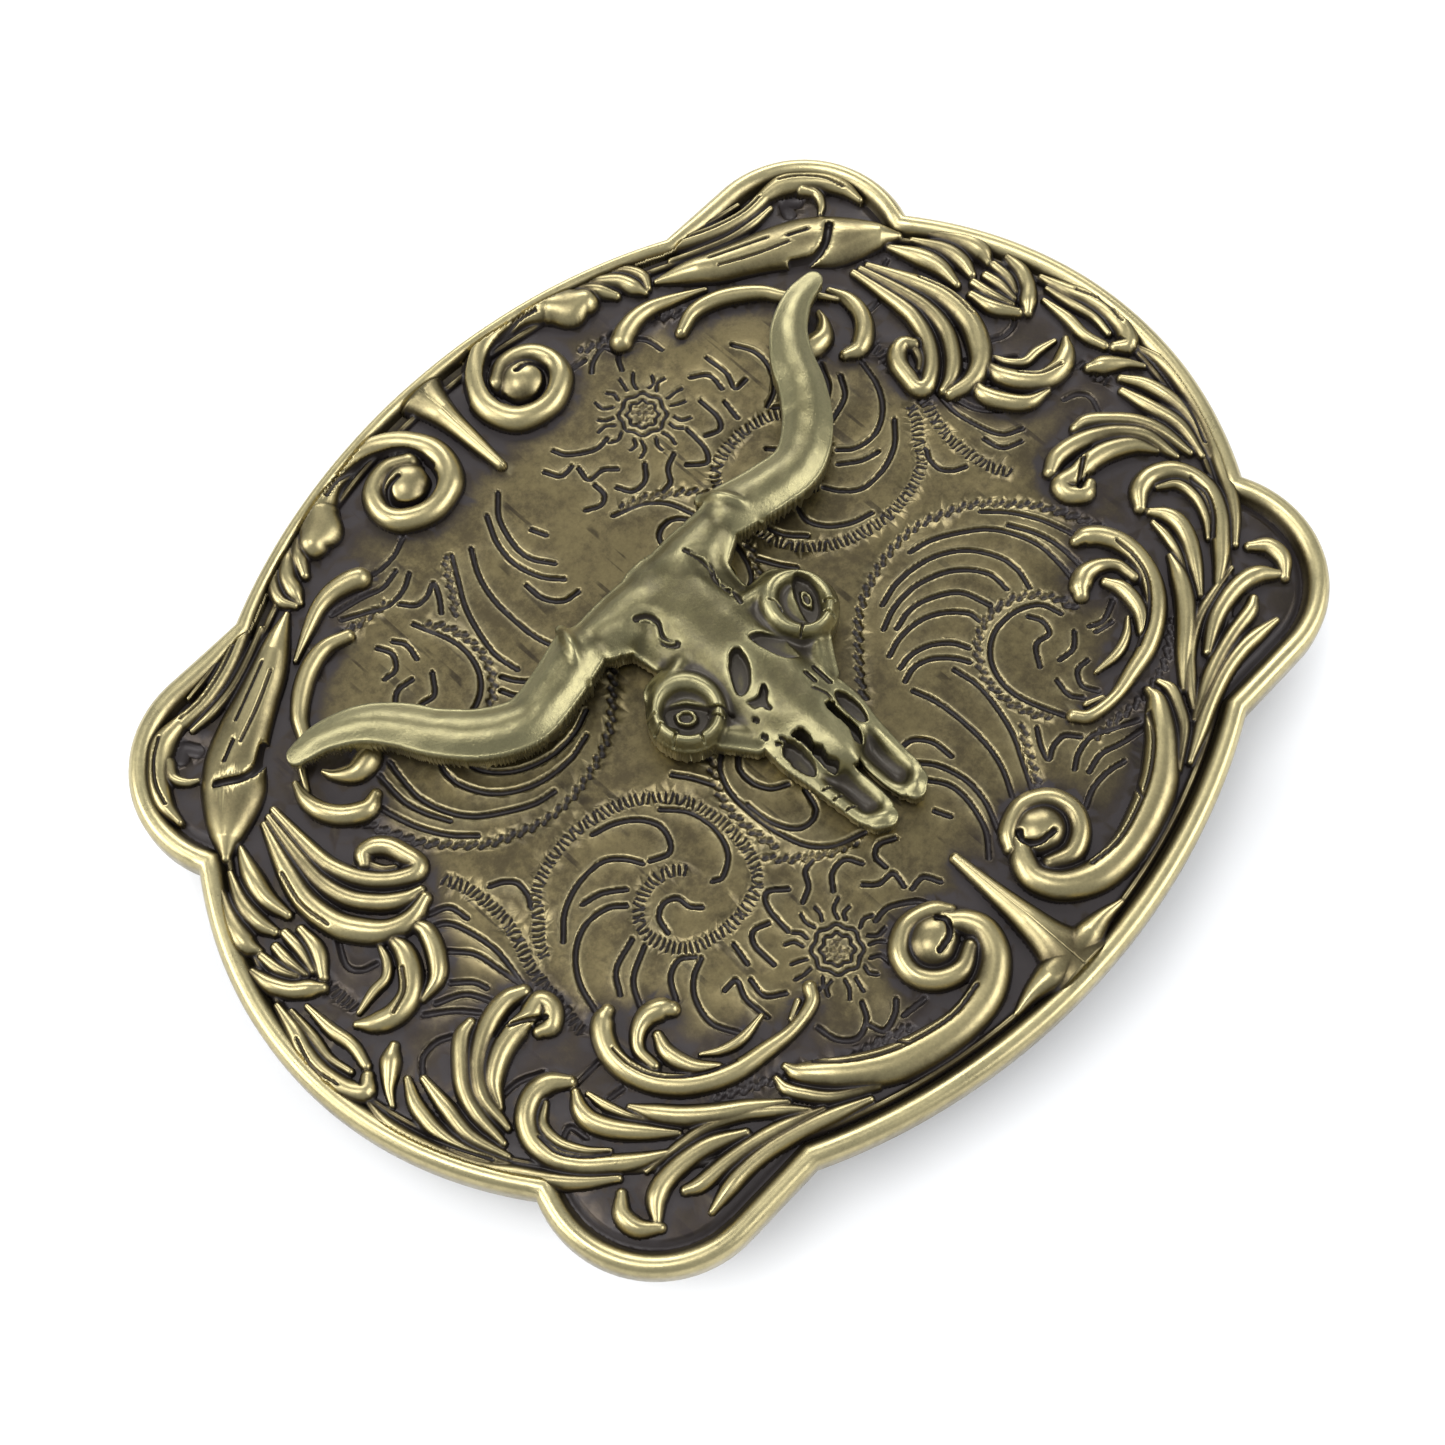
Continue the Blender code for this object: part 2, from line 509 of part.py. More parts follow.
def main():
    clear_scene()
    parts = new_collection("belt_buckle")
    cutters = new_collection("cutters")
    brass = metal("antique_brass", (0.42, 0.34, 0.16), 0.38)
    pale_brass = metal("worn_brass", (0.50, 0.41, 0.20), 0.34)
    steel = metal("brassed_steel", (0.36, 0.31, 0.20), 0.35)
    make_plate(parts, cutters, brass)
    make_skull(parts, cutters, pale_brass)
    for name, y in zip(("upper", "lower"), SKULL_SCREW_Y):
        washer_low = PAN_Z - GAP - 0.5
        make_washer(f"skull_washer_{name}", 0, y, washer_low, parts, steel)
        make_pin(f"skull_screw_{name}", 0, y, RIM_Z + 0.9 - GAP, washer_low - GAP - HEAD_HEIGHT, HEAD_RADIUS,
                 parts, steel)
    make_bracket(parts, cutters, steel)
    make_loop(parts, steel)
    make_stud(parts, cutters, steel)


main()
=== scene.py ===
import math

import bmesh
import bpy
import numpy as np
from mathutils import Matrix, Vector


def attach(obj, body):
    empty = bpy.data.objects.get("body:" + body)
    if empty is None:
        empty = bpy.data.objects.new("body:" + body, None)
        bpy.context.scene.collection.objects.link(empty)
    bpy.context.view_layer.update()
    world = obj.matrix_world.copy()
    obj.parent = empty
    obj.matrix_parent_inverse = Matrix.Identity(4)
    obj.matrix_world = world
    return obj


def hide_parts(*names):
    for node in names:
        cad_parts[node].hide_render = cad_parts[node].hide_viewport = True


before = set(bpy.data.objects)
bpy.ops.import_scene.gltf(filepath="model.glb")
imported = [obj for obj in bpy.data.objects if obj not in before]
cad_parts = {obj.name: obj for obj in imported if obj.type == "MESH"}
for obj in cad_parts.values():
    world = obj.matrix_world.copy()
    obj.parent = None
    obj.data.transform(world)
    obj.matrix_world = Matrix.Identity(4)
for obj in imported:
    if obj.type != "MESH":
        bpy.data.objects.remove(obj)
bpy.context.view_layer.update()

# Lengths are in millimetres until a mesh is written, and mm turns them into metres.
mm = 0.001
panZ = 8.0  # sunk floor of the back
fieldZ = 9.7  # engraved ground of the face
rimZ = 10.8  # top of the rim bead
thinnest = 0.25  # metal left between a relief and its shaped underside


def clearSelection():
    bpy.ops.object.select_all(action="DESELECT")


def pick(obj):
    clearSelection()
    obj.select_set(True)
    bpy.context.view_layer.objects.active = obj


def applyModifiers(obj):
    pick(obj)
    for modifier in list(obj.modifiers):
        bpy.ops.object.modifier_apply(modifier=modifier.name)


def applyPlace(obj):
    pick(obj)
    bpy.ops.object.transform_apply(location=True, rotation=True, scale=True)


def finishPiece(obj, body, slot, material, *nodes):
    obj.data.materials.clear()
    obj.data.materials.append(material)
    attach(obj, body)
    if nodes:
        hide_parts(*nodes)


# Reliefs are heights on a fine sheet of points, drawn with strokes.

def smoothLine(points, gap=0.25):
    # A curve through given points. Each column after x and y, such as the width, is carried along.
    p = np.array(points, float)
    ends = np.vstack([2 * p[0] - p[1], p, 2 * p[-1] - p[-2]])
    runs = []
    for a, b, c, d in zip(ends, ends[1:], ends[2:], ends[3:]):
        count = max(2, int(np.hypot(*(c - b)[:2]) / gap) + 1)
        t = np.linspace(0, 1, count, endpoint=False)[:, None]
        runs.append(0.5 * (2 * b + (c - a) * t + (2 * a - 5 * b + 4 * c - d) * t**2
                           + (3 * b - a - 3 * c + d) * t**3))
    return np.vstack(runs + [p[-1:]])


def makeSheet(xReach, yLow, yHigh, step):
    cols = int(round(xReach / step))
    xs = np.arange(-cols, cols + 1) * step
    ys = np.arange(int(round(yLow / step)), int(round(yHigh / step)) + 1) * step
    return {"xs": xs, "ys": ys, "step": step, "shape": (len(ys), len(xs))}


def windowOf(sheet, xLow, xHigh, yLow, yHigh):
    step = sheet["step"]
    rows, cols = sheet["shape"]
    left = int(np.clip((xLow - sheet["xs"][0]) / step, 0, cols))
    right = int(np.clip((xHigh - sheet["xs"][0]) / step + 2, 0, cols))
    low = int(np.clip((yLow - sheet["ys"][0]) / step, 0, rows))
    high = int(np.clip((yHigh - sheet["ys"][0]) / step + 2, 0, rows))
    return slice(low, high), slice(left, right)


def nearLine(sheet, line, reach):
    # Distance to a line, with its other columns carried to the nearest points, around the line only.
    line = np.asarray(line, float)
    rows, cols = windowOf(sheet, line[:, 0].min() - reach, line[:, 0].max() + reach,
                          line[:, 1].min() - reach, line[:, 1].max() + reach)
    ys, xs = sheet["ys"][rows], sheet["xs"][cols]
    far = np.full((len(ys), len(xs)), 1e3)
    carried = np.zeros((line.shape[1] - 2, len(ys), len(xs)))
    part = {"xs": xs, "ys": ys, "step": sheet["step"], "shape": far.shape}
    if not far.size:
        return (rows, cols), far, carried
    for a, b in zip(line, line[1:]):
        r, c = windowOf(part, min(a[0], b[0]) - reach, max(a[0], b[0]) + reach,
                        min(a[1], b[1]) - reach, max(a[1], b[1]) + reach)
        if r.start >= r.stop or c.start >= c.stop:
            continue
        dx, dy = xs[c][None, :] - a[0], ys[r][:, None] - a[1]
        ux, uy = b[0] - a[0], b[1] - a[1]
        along = np.clip((dx * ux + dy * uy) / max(ux * ux + uy * uy, 1e-12), 0, 1)
        away = np.hypot(dx - ux * along, dy - uy * along)
        closer = away < far[r, c]
        far[r, c] = np.where(closer, away, far[r, c])
        for k in range(len(carried)):
            carried[k][r, c] = np.where(closer, a[2 + k] + (b[2 + k] - a[2 + k]) * along, carried[k][r, c])
    return (rows, cols), far, carried


def addRidge(height, sheet, points, base, rise, power):
    # A rounded ridge. points are (x, y, half width), and rise gives its height from the half width.
    line = smoothLine(points)
    where, far, (width,) = nearLine(sheet, line, line[:, 2].max() + 0.1)
    share = np.clip(1 - (far / np.maximum(width, 1e-3))**2, 0, 1)
    top = np.where(far < width, base + rise(width) * share**power, -50)
    height[where] = np.maximum(height[where], top)


def addGroove(depth, sheet, points, half, deep, lip=0.0):
    # A cut with a round floor and round ends. depth grows where the cut goes down.
    line = smoothLine([(*p[:2], half) for p in points])
    where, far, _ = nearLine(sheet, line, half + 0.3)
    cut = deep * np.sqrt(np.clip(1 - (far / half)**2, 0, 1))
    raised = -lip * np.exp(-((far - half - 0.1) / 0.1)**2)
    beside = np.where(depth[where] > 0.02, depth[where], np.minimum(depth[where], raised))
    depth[where] = np.where(cut > 0, np.maximum(depth[where], cut), beside)


def dotsAlong(points, pitch):
    # Places at an even pitch along a line, with the direction of the line there.
    line = smoothLine(points)[:, :2]
    lengths = np.concatenate([[0], np.cumsum(np.hypot(*np.diff(line, axis=0).T))])
    marks = np.arange(pitch / 2, lengths[-1], pitch)
    xs, ys = np.interp(marks, lengths, line[:, 0]), np.interp(marks, lengths, line[:, 1])
    xn, yn = np.interp(marks + 0.1, lengths, line[:, 0]), np.interp(marks + 0.1, lengths, line[:, 1])
    xp, yp = np.interp(marks - 0.1, lengths, line[:, 0]), np.interp(marks - 0.1, lengths, line[:, 1])
    turn = np.arctan2(yn - yp, xn - xp)
    return list(zip(xs, ys, turn))


def blur(values, sigma, step):
    # A soft average over a round patch, through the Fourier transform.
    pad = int(3 * sigma / step) + 1
    wide = np.pad(values, pad, mode="edge")
    fy = np.fft.fftfreq(wide.shape[0])[:, None]
    fx = np.fft.rfftfreq(wide.shape[1])[None, :]
    keep = np.exp(-2 * (math.pi * sigma / step)**2 * (fx**2 + fy**2))
    soft = np.fft.irfft2(np.fft.rfft2(wide) * keep, s=wide.shape)
    return soft[pad:-pad, pad:-pad]


def blurWithin(values, inside, sigma, step):
    # A soft average that takes nothing from outside the piece
    kept = (inside > 0).astype(float)
    soft = blur(values * kept, sigma, step) / np.maximum(blur(kept, sigma, step), 0.05)
    return np.where(inside > 0, soft, values)


def insideOf(sheet, loop):
    # True within a closed loop of points.
    ys, xs = sheet["ys"][:, None], sheet["xs"][None, :]
    inside = np.zeros(sheet["shape"], bool)
    for (ax, ay), (bx, by) in zip(loop, np.roll(loop, -1, axis=0)):
        if ay == by:
            continue
        crosses = (ys < ay) != (ys < by)
        inside ^= crosses & (xs < ax + (ys - ay) * (bx - ax) / (by - ay))
    return inside


def readSheet(sheet, values, xs, ys):
    # Values of a sheet at any places, between its points.
    step = sheet["step"]
    u = np.clip((xs - sheet["xs"][0]) / step, 0, sheet["shape"][1] - 1.001)
    v = np.clip((ys - sheet["ys"][0]) / step, 0, sheet["shape"][0] - 1.001)
    i, j = u.astype(int), v.astype(int)
    fu, fv = u - i, v - j
    return ((values[j, i] * (1 - fu) + values[j, i + 1] * fu) * (1 - fv)
            + (values[j + 1, i] * (1 - fu) + values[j + 1, i + 1] * fu) * fv)


def reliefMesh(name, sheet, height, inside, base, mostFaces, snap=True):
    # A closed body under a sheet of heights, kept where inside is above 0, its edge drawn onto the line where
    # inside is 0. The base is a flat floor's height, or a sheet of heights for a shaped underside.
    shaped = isinstance(base, np.ndarray)
    rows, cols = sheet["shape"]
    keep = inside > 0
    quads = keep[:-1, :-1] & keep[1:, :-1] & keep[:-1, 1:] & keep[1:, 1:]
    for _ in range(6):  # no two squares meet at a corner only
        q = np.pad(quads, 1)
        a, b, c, d = q[:-1, :-1], q[:-1, 1:], q[1:, :-1], q[1:, 1:]
        cross = (a & d & ~b & ~c) | (b & c & ~a & ~d)
        if not cross.any():
            break
        quads &= ~(cross[:-1, :-1] | cross[:-1, 1:] | cross[1:, :-1] | cross[1:, 1:])
    grown = np.pad(quads, 1)
    used = grown[:-1, :-1] | grown[:-1, 1:] | grown[1:, :-1] | grown[1:, 1:]
    full = grown[:-1, :-1] & grown[:-1, 1:] & grown[1:, :-1] & grown[1:, 1:]
    edge = used & ~full
    gy, gx = np.gradient(inside, sheet["step"])
    size = np.maximum(gx**2 + gy**2, 1e-9)
    px = np.broadcast_to(sheet["xs"][None, :], (rows, cols)).copy()
    py = np.broadcast_to(sheet["ys"][:, None], (rows, cols)).copy()
    if snap:
        move = np.clip(inside / size, -3 * sheet["step"], 3 * sheet["step"]) * edge
        px -= gx * move
        py -= gy * move
    index = np.full((rows, cols), -1)
    index[used] = np.arange(used.sum())
    verts = np.stack([px[used], py[used], height[used]], axis=1) * mm
    j, i = np.nonzero(quads)
    faces = np.stack([index[j, i], index[j, i + 1], index[j + 1, i + 1], index[j + 1, i]], axis=1)
    mesh = bpy.data.meshes.new(name)
    mesh.from_pydata(verts.tolist(), [], faces.tolist())
    obj = bpy.data.objects.new(name, mesh)
    bpy.context.collection.objects.link(obj)
    topFaces = (0.48 if shaped else 0.88) * mostFaces
    if 2 * len(faces) > topFaces:
        thin = obj.modifiers.new("thin", "DECIMATE")
        thin.ratio = topFaces / (2 * len(faces))
        applyModifiers(obj)
    bm = bmesh.new()
    bm.from_mesh(obj.data)
    if shaped:
        bmesh.ops.triangulate(bm, faces=bm.faces)
        made = bmesh.ops.extrude_face_region(bm, geom=list(bm.faces), use_keep_orig=True)["geom"]
        below = [g for g in made if isinstance(g, bmesh.types.BMVert)]
        places = np.array([vert.co for vert in below]) / mm
        for vert, z in zip(below, readSheet(sheet, base, places[:, 0], places[:, 1])):
            vert.co.z = min(vert.co.z - thinnest * mm, z * mm)
        upperHalf = -1.0
    else:
        border = [e for e in bm.edges if e.is_boundary]
        made = bmesh.ops.extrude_edge_only(bm, edges=border)["geom"]
        for vert in (g for g in made if isinstance(g, bmesh.types.BMVert)):
            vert.co.z = base * mm
        upperHalf = base * mm + 1e-6
        bmesh.ops.triangle_fill(bm, edges=[e for e in bm.edges if e.is_boundary], use_beauty=False)
    bmesh.ops.recalc_face_normals(bm, faces=bm.faces)
    bm.normal_update()
    up = sum(f.normal.z * f.calc_area() for f in bm.faces if f.calc_center_median().z > upperHalf)
    if (bm.calc_volume(signed=True) if shaped else up) < 0:
        bmesh.ops.reverse_faces(bm, faces=bm.faces)
    openEdges = sum(1 for e in bm.edges if not e.is_manifold)
    bm.to_mesh(obj.data)
    bm.free()
    obj.data.shade_smooth()
    print(f"{name}: {len(obj.data.polygons)} faces, {openEdges} open edges")
    return obj


def storeValues(obj, sheet, **layers):
    # Sheet values kept on the points of a piece, for its material to read.
    count = len(obj.data.vertices)
    co = np.empty(count * 3)
    obj.data.vertices.foreach_get("co", co)
    co = co.reshape(-1, 3) / mm
    for name, values in layers.items():
        layer = obj.data.attributes.new(name, "FLOAT", "POINT")
        layer.data.foreach_set("value", readSheet(sheet, values, co[:, 0], co[:, 1]).astype(np.float32))


# The plate's edge line, as in the frame
plateValues = {
    "halfWidth": 49.1, "halfHeight": 39.5, "lobeRadius": 10.1, "lobeX": 33.5, "lobeY": 23.4,
    "points": 120,  # along each quarter of the edge
    # The cast rim, wall and back, from under the channel to the pan: how far in from the edge, the height,
    # and how rubbed (above 0) or dark (below 0) the metal is there
    "profile": [
        (3.2, 8.9, -0.5), (2.4, 9.15, -0.45), (2.12, 9.45, -0.35), (1.95, 9.9, -0.15), (1.78, 10.25, 0.2),
        (1.52, 10.56, 0.5), (1.22, 10.74, 0.72), (0.9, 10.8, 0.75), (0.58, 10.72, 0.68), (0.3, 10.5, 0.55),
        (0.1, 10.18, 0.42), (0.0, 9.8, 0.34), (0.0, 8.35, 0.22), (0.06, 8.0, 0.2), (0.2, 7.76, 0.3),
        (0.42, 7.64, 0.42), (0.7, 7.6, 0.3), (2.4, 7.6, 0.3), (2.55, 7.64, 0.4), (2.72, 7.8, 0.0),
        (2.9, 7.96, -0.25), (3.1, 8.0, -0.1), (4.2, 8.0, 0.05),
    ],
    "narrowTop": 0.3,  # how much slimmer the bead is along the top
    "rimWaver": 0.05,  # unevenness of the cast rim
}


def ovalRadius(angle):
    v = plateValues
    return 1 / math.hypot(math.cos(angle) / v["halfWidth"], math.sin(angle) / v["halfHeight"])


def lobeRadiusAt(angle):
    v = plateValues
    c, s = math.cos(angle), math.sin(angle)
    top = v["lobeY"] + v["lobeRadius"]
    if top * c / s <= v["lobeX"]:
        return top / s
    across = v["lobeX"] * s - v["lobeY"] * c
    return v["lobeX"] * c + v["lobeY"] * s + math.sqrt(max(v["lobeRadius"]**2 - across**2, 0))


def notchAngle(inside, outside):
    for _ in range(40):
        middle = (inside + outside) / 2
        if ovalRadius(middle) > lobeRadiusAt(middle):
            inside = middle
        else:
            outside = middle
    return middle


def edgeLine():
    # The whole edge, anticlockwise, with a point on each notch.
    ends = notchAngle(math.radians(20), math.radians(35))
    sides = notchAngle(math.radians(60), math.radians(42))
    quarter = []
    stretches = ((0, ends, ovalRadius), (ends, sides, lobeRadiusAt), (sides, math.pi / 2, ovalRadius))
    for start, stop, radius in stretches:
        count = max(8, int(plateValues["points"] * (stop - start) / (math.pi / 2)))
        for i in range(count):
            a = start + (stop - start) * i / count
            quarter.append((radius(a) * math.cos(a), radius(a) * math.sin(a)))
    quarter = np.array(quarter + [(0, plateValues["halfHeight"])])
    left = quarter[-2::-1] * (-1, 1)
    upper = np.vstack([quarter, left])
    return np.vstack([upper, upper[-2:0:-1] * (1, -1)])


edge = edgeLine()


def insetLine(loop, inset):
    # The loop drawn inwards by an even distance, corners kept.
    before, after = np.roll(loop, 1, axis=0), np.roll(loop, -1, axis=0)
    a, b = loop - before, after - loop
    na = np.stack([-a[:, 1], a[:, 0]], axis=1) / np.hypot(*a.T)[:, None]
    nb = np.stack([-b[:, 1], b[:, 0]], axis=1) / np.hypot(*b.T)[:, None]
    middle = na + nb
    middle /= np.hypot(*middle.T)[:, None]
    return loop + middle * inset / np.maximum((middle * na).sum(axis=1), 0.3)[:, None]


# Strokes of the border's left half, as (x, y, half width)
borderStrokes = {
    "stemFlare": [(0, 39.3, 3.2), (0, 38, 2.2), (0, 36.3, 1.5), (0, 34, 1.05), (0, 31, 0.8), (0, 28, 0.55)],
    "volute": [(-13.6, 36.5, 1.5), (-11.4, 37.5, 1.2), (-8.9, 37.9, 1.1), (-6.4, 37.3, 1.1),
        (-4.5, 35.75, 1.2), (-3.25, 33.6, 1.2), (-3.25, 31.7, 1.2), (-4.2, 30, 1.2), (-6.1, 29.2, 1.1),
        (-7.9, 29.3, 1.1), (-9.7, 30.4, 1.1), (-10.3, 32, 1), (-9.8, 33.6, 1), (-8.6, 34.5, 1),
        (-7, 34.7, 1), (-5.4, 33.9, 1)],
    "button": [(-7.2, 32.5, 1.9), (-6.8, 32.7, 1.9)],
    "bulb": [(-16.4, 34.2, 1.3), (-15.2, 34.8, 1.9), (-14, 35.9, 1.5)],
    "lobeA": [(-16.9, 35.4, 0.6), (-17.6, 34.8, 0.75), (-18.25, 33.9, 0.8), (-18.9, 32.6, 0.5)],
    "lobeB": [(-18.2, 35.1, 0.6), (-19, 34.5, 0.8), (-20.1, 33.4, 0.85), (-20.6, 32, 0.8),
        (-20.9, 31, 0.4)],
    "lobeC": [(-19.5, 35.2, 0.5), (-21.2, 33.9, 0.65), (-21.9, 32.3, 0.65), (-21.4, 31.1, 0.4)],
    "cornerBand": [(-36, 30.1, 0.5), (-35, 30, 0.7), (-32.6, 30, 0.75), (-30.1, 30.6, 0.8),
        (-27.9, 31.5, 0.8), (-25.4, 32.9, 0.75), (-22.9, 34, 0.7), (-20.4, 35.1, 0.5)],
    "cornerLow": [(-35, 28.9, 0.3), (-32.6, 28.9, 0.5), (-30.1, 29.3, 0.5), (-27.4, 30.3, 0.5),
        (-24.8, 31.6, 0.35)],
    "cornerHigh": [(-33.25, 31.3, 0.25), (-30.1, 31.9, 0.42), (-27, 33, 0.42), (-23.5, 34.6, 0.3)],
    "cornerClaw": [(-34.6, 30.2, 0.6), (-37.3, 29.8, 1), (-38.9, 28.6, 1), (-40.3, 27, 0.95),
        (-41, 25.4, 0.8), (-41.1, 23.6, 0.4)],
    "cornerHook": [(-38.4, 28.2, 0.7), (-38.9, 26.9, 0.6), (-38.4, 25.8, 0.45), (-37.6, 25.2, 0.3)],
    "dagger": [(-22.4, 31, 0.35), (-24.5, 29.8, 1), (-27, 28.25, 1.5), (-29.5, 27, 1.75),
        (-32, 25.75, 2.05), (-34.5, 24.2, 2.3), (-36.4, 22.3, 2.4), (-38.6, 20.4, 1.7), (-40.6, 18.5, 0.5)],
    "curlBall": [(-15.9, 29, 1), (-16.8, 29.4, 1), (-18.4, 29.7, 0.9), (-20.1, 29.5, 0.75),
        (-22, 28.7, 0.6), (-24.8, 27.3, 0.3)],
    "hornCurl": [(-20.2, 25.8, 0.6), (-22.3, 26.4, 0.75), (-24.5, 25.9, 0.85), (-26.4, 24.8, 0.85),
        (-28.1, 23.25, 0.75), (-29.2, 21.5, 0.6), (-30.9, 20, 0.4), (-32.2, 17.8, 0.3)],
    "claw": [(-32.3, 19.2, 0.35), (-32.7, 17.4, 0.7), (-32.4, 15.7, 0.9), (-31.4, 14.2, 0.95),
        (-29.8, 13.25, 0.9), (-28.4, 13.7, 0.55)],
    "clawBall": [(-30, 18.3, 0.3), (-29.5, 17.3, 0.6), (-28.25, 16.3, 1), (-26.7, 16.4, 1.1),
        (-25.7, 17, 0.8)],
    "fingerA": [(-42.6, 17, 0.35), (-44, 13.9, 1), (-44.4, 12, 1), (-44.1, 10.75, 0.5)],
    "fingerB": [(-41.2, 17.3, 0.35), (-42.3, 14.5, 0.85), (-42.5, 12.6, 0.85), (-42.1, 11, 0.5)],
    "fingerC": [(-39.2, 18.3, 0.4), (-40.2, 15.75, 0.9), (-40.7, 13.6, 0.9), (-40.4, 11.3, 0.5)],
    "leafOuter": [(-36.5, 18.4, 0.4), (-37.9, 14, 0.95), (-38.6, 10.9, 1.05), (-38.3, 8, 1.1),
        (-37.2, 5.9, 1.1), (-35.75, 4.4, 1), (-33.9, 3.8, 0.9), (-31.8, 4.3, 0.6)],
    "leafMiddle": [(-35.8, 18.6, 0.4), (-36.5, 14, 0.8), (-36.7, 11.2, 0.85), (-36.1, 8.7, 0.85),
        (-34.7, 6.7, 0.85), (-33.1, 5.4, 0.8), (-31.6, 5, 0.5)],
    "leafInner": [(-35.1, 18.8, 0.4), (-35.4, 13.4, 0.8), (-35.1, 11.2, 0.85), (-34.1, 9, 0.85),
        (-32.6, 7.3, 0.85), (-31, 6.4, 0.85), (-30.2, 6.8, 0.85), (-30.4, 8.1, 0.9), (-30.8, 9.5, 0.9),
        (-31.6, 10.4, 0.9), (-32.6, 10.6, 0.85), (-33.2, 9.9, 0.7)],
    "leafBead": [(-33, 9.6, 0.5), (-32.5, 8.5, 0.5), (-31.7, 7.9, 0.4)],
    "shellLeft": [(-45.6, 9.8, 0.5), (-45.3, 8, 0.8), (-44.5, 6.5, 0.8), (-43.4, 5.5, 0.8),
        (-42.6, 4.8, 0.5)],
    "shellRibA": [(-44.2, 10.2, 0.5), (-44, 8.3, 0.6), (-43.4, 6.9, 0.4)],
    "shellRibB": [(-42.9, 10, 0.5), (-43, 8.4, 0.6), (-42.8, 6.6, 0.4)],
    "shellRibC": [(-41.6, 10.3, 0.5), (-41.7, 8.4, 0.6), (-42.2, 6.3, 0.4)],
    "shellRight": [(-40.5, 9.6, 0.5), (-40.8, 7.4, 0.75), (-42, 5.4, 0.5)],
    "waveOuter": [(-46.1, 6.3, 0.4), (-46.6, 3.7, 0.8), (-47.2, 1.8, 0.9), (-47.4, -0.4, 0.9),
        (-47, -2.6, 0.9), (-46.1, -3.8, 0.9), (-45.1, -3.1, 0.6)],
    "waveInner": [(-45.6, 5.2, 0.3), (-45.9, 2.4, 0.55), (-46.2, 0.2, 0.5), (-45.8, -1.8, 0.4)],
    "waveRight": [(-44.5, 4.6, 0.3), (-44.5, 1.8, 0.6), (-44.2, -0.4, 0.6), (-44.6, -2.4, 0.5)],
    "crescentLow": [(-42.8, 0.6, 0.4), (-41.7, -0.4, 0.85), (-40.1, -1, 1), (-38.25, -0.7, 1),
        (-36.9, 0.6, 1), (-36.1, 2.2, 0.9), (-36, 3.7, 0.6)],
    "crescentHigh": [(-42, 1.2, 0.3), (-40.1, 1.6, 0.5), (-38.6, 1.7, 0.5), (-37.6, 2.6, 0.5),
        (-37.1, 3.9, 0.35)],
    "crescentOuter": [(-37.8, -1.7, 0.35), (-35.75, -1.2, 0.75), (-34.4, 0.4, 0.85), (-33.7, 2.2, 0.8),
        (-34.1, 3.5, 0.5)],
    "smallLeaf": [(-42, -2.8, 0.5), (-42.9, -3.4, 0.85), (-43.8, -4.2, 0.75), (-44.7, -5.1, 0.5),
        (-45.4, -6.2, 0.3)],
    "bladeOuter": [(-46.5, -4.6, 0.3), (-46.8, -7.25, 0.75), (-46.2, -10, 0.85), (-45.2, -12.6, 0.85),
        (-44, -15, 0.8), (-42.6, -17, 0.8), (-41.1, -19.2, 0.75), (-39.4, -21.2, 0.65), (-37.3, -23, 0.4)],
    "bladeInner": [(-43.1, -5.5, 0.4), (-44.1, -7.6, 0.7), (-44.4, -10.4, 0.75), (-43.9, -13.2, 0.7),
        (-42.4, -16.2, 0.4)],
    "bladeCore": [(-42.2, -6.4, 0.4), (-42.6, -9.4, 0.75), (-42.9, -12.4, 0.75), (-42, -15.6, 0.4)],
    "fanA": [(-41.5, -14.6, 0.4), (-41.3, -11.6, 0.8), (-40.5, -9.3, 0.85), (-39, -7.4, 0.85),
        (-37.7, -6.2, 0.8), (-36.6, -5.9, 0.6)],
    "fanB": [(-40.4, -14, 0.4), (-40.1, -11, 0.85), (-38.7, -8.9, 0.9), (-36.9, -7.6, 0.95),
        (-35, -6.8, 0.9), (-33.25, -6.6, 0.85), (-31.9, -7.1, 0.7)],
    "fanC": [(-39.7, -12.4, 0.4), (-38.7, -10.6, 0.85), (-36.9, -9.4, 1), (-35, -8.9, 1), (-33.1, -8.9, 1),
        (-31.6, -8.6, 0.95), (-31.3, -9.6, 0.9), (-32.3, -10.6, 0.85), (-33.3, -10.3, 0.6)],
    "middleCurl": [(-34.5, -14.9, 0.6), (-35.75, -13.8, 0.9), (-37.3, -13.6, 0.95), (-38.9, -14.5, 0.95),
        (-39.8, -16.2, 0.9), (-39.7, -18.3, 0.9), (-38.6, -20.2, 0.9), (-37, -21.75, 0.85),
        (-35.1, -23.3, 0.7), (-33, -24.6, 0.4)],
    "middleRib": [(-37, -14.7, 0.35), (-38.4, -15.8, 0.55), (-38.5, -17.7, 0.55), (-37.6, -19.6, 0.5),
        (-36.2, -21, 0.3)],
    "middleLeaf": [(-34.8, -15.8, 0.45), (-35.5, -17, 0.75), (-35.6, -18.3, 0.85), (-34.9, -19.9, 0.85),
        (-33.5, -21.75, 0.75), (-31.6, -23.9, 0.4)],
    "middleSlip": [(-34.2, -16.6, 0.3), (-33.9, -18.4, 0.5), (-33.25, -20.2, 0.45), (-32.3, -21.8, 0.3)],
    "nextLeaf": [(-32.7, -19.7, 0.35), (-31.8, -21.4, 0.8), (-30.4, -23.2, 0.9), (-28.6, -24.9, 0.9),
        (-26.4, -26.5, 0.75), (-24, -28.4, 0.4)],
    "innerCurl": [(-28.4, -13, 0.6), (-29.2, -13.3, 0.9), (-30.1, -14.2, 0.95), (-30.75, -15.7, 0.95),
        (-30.8, -17.5, 0.95), (-30.1, -19.6, 0.95), (-28.8, -21.4, 0.95), (-27, -22.8, 0.9),
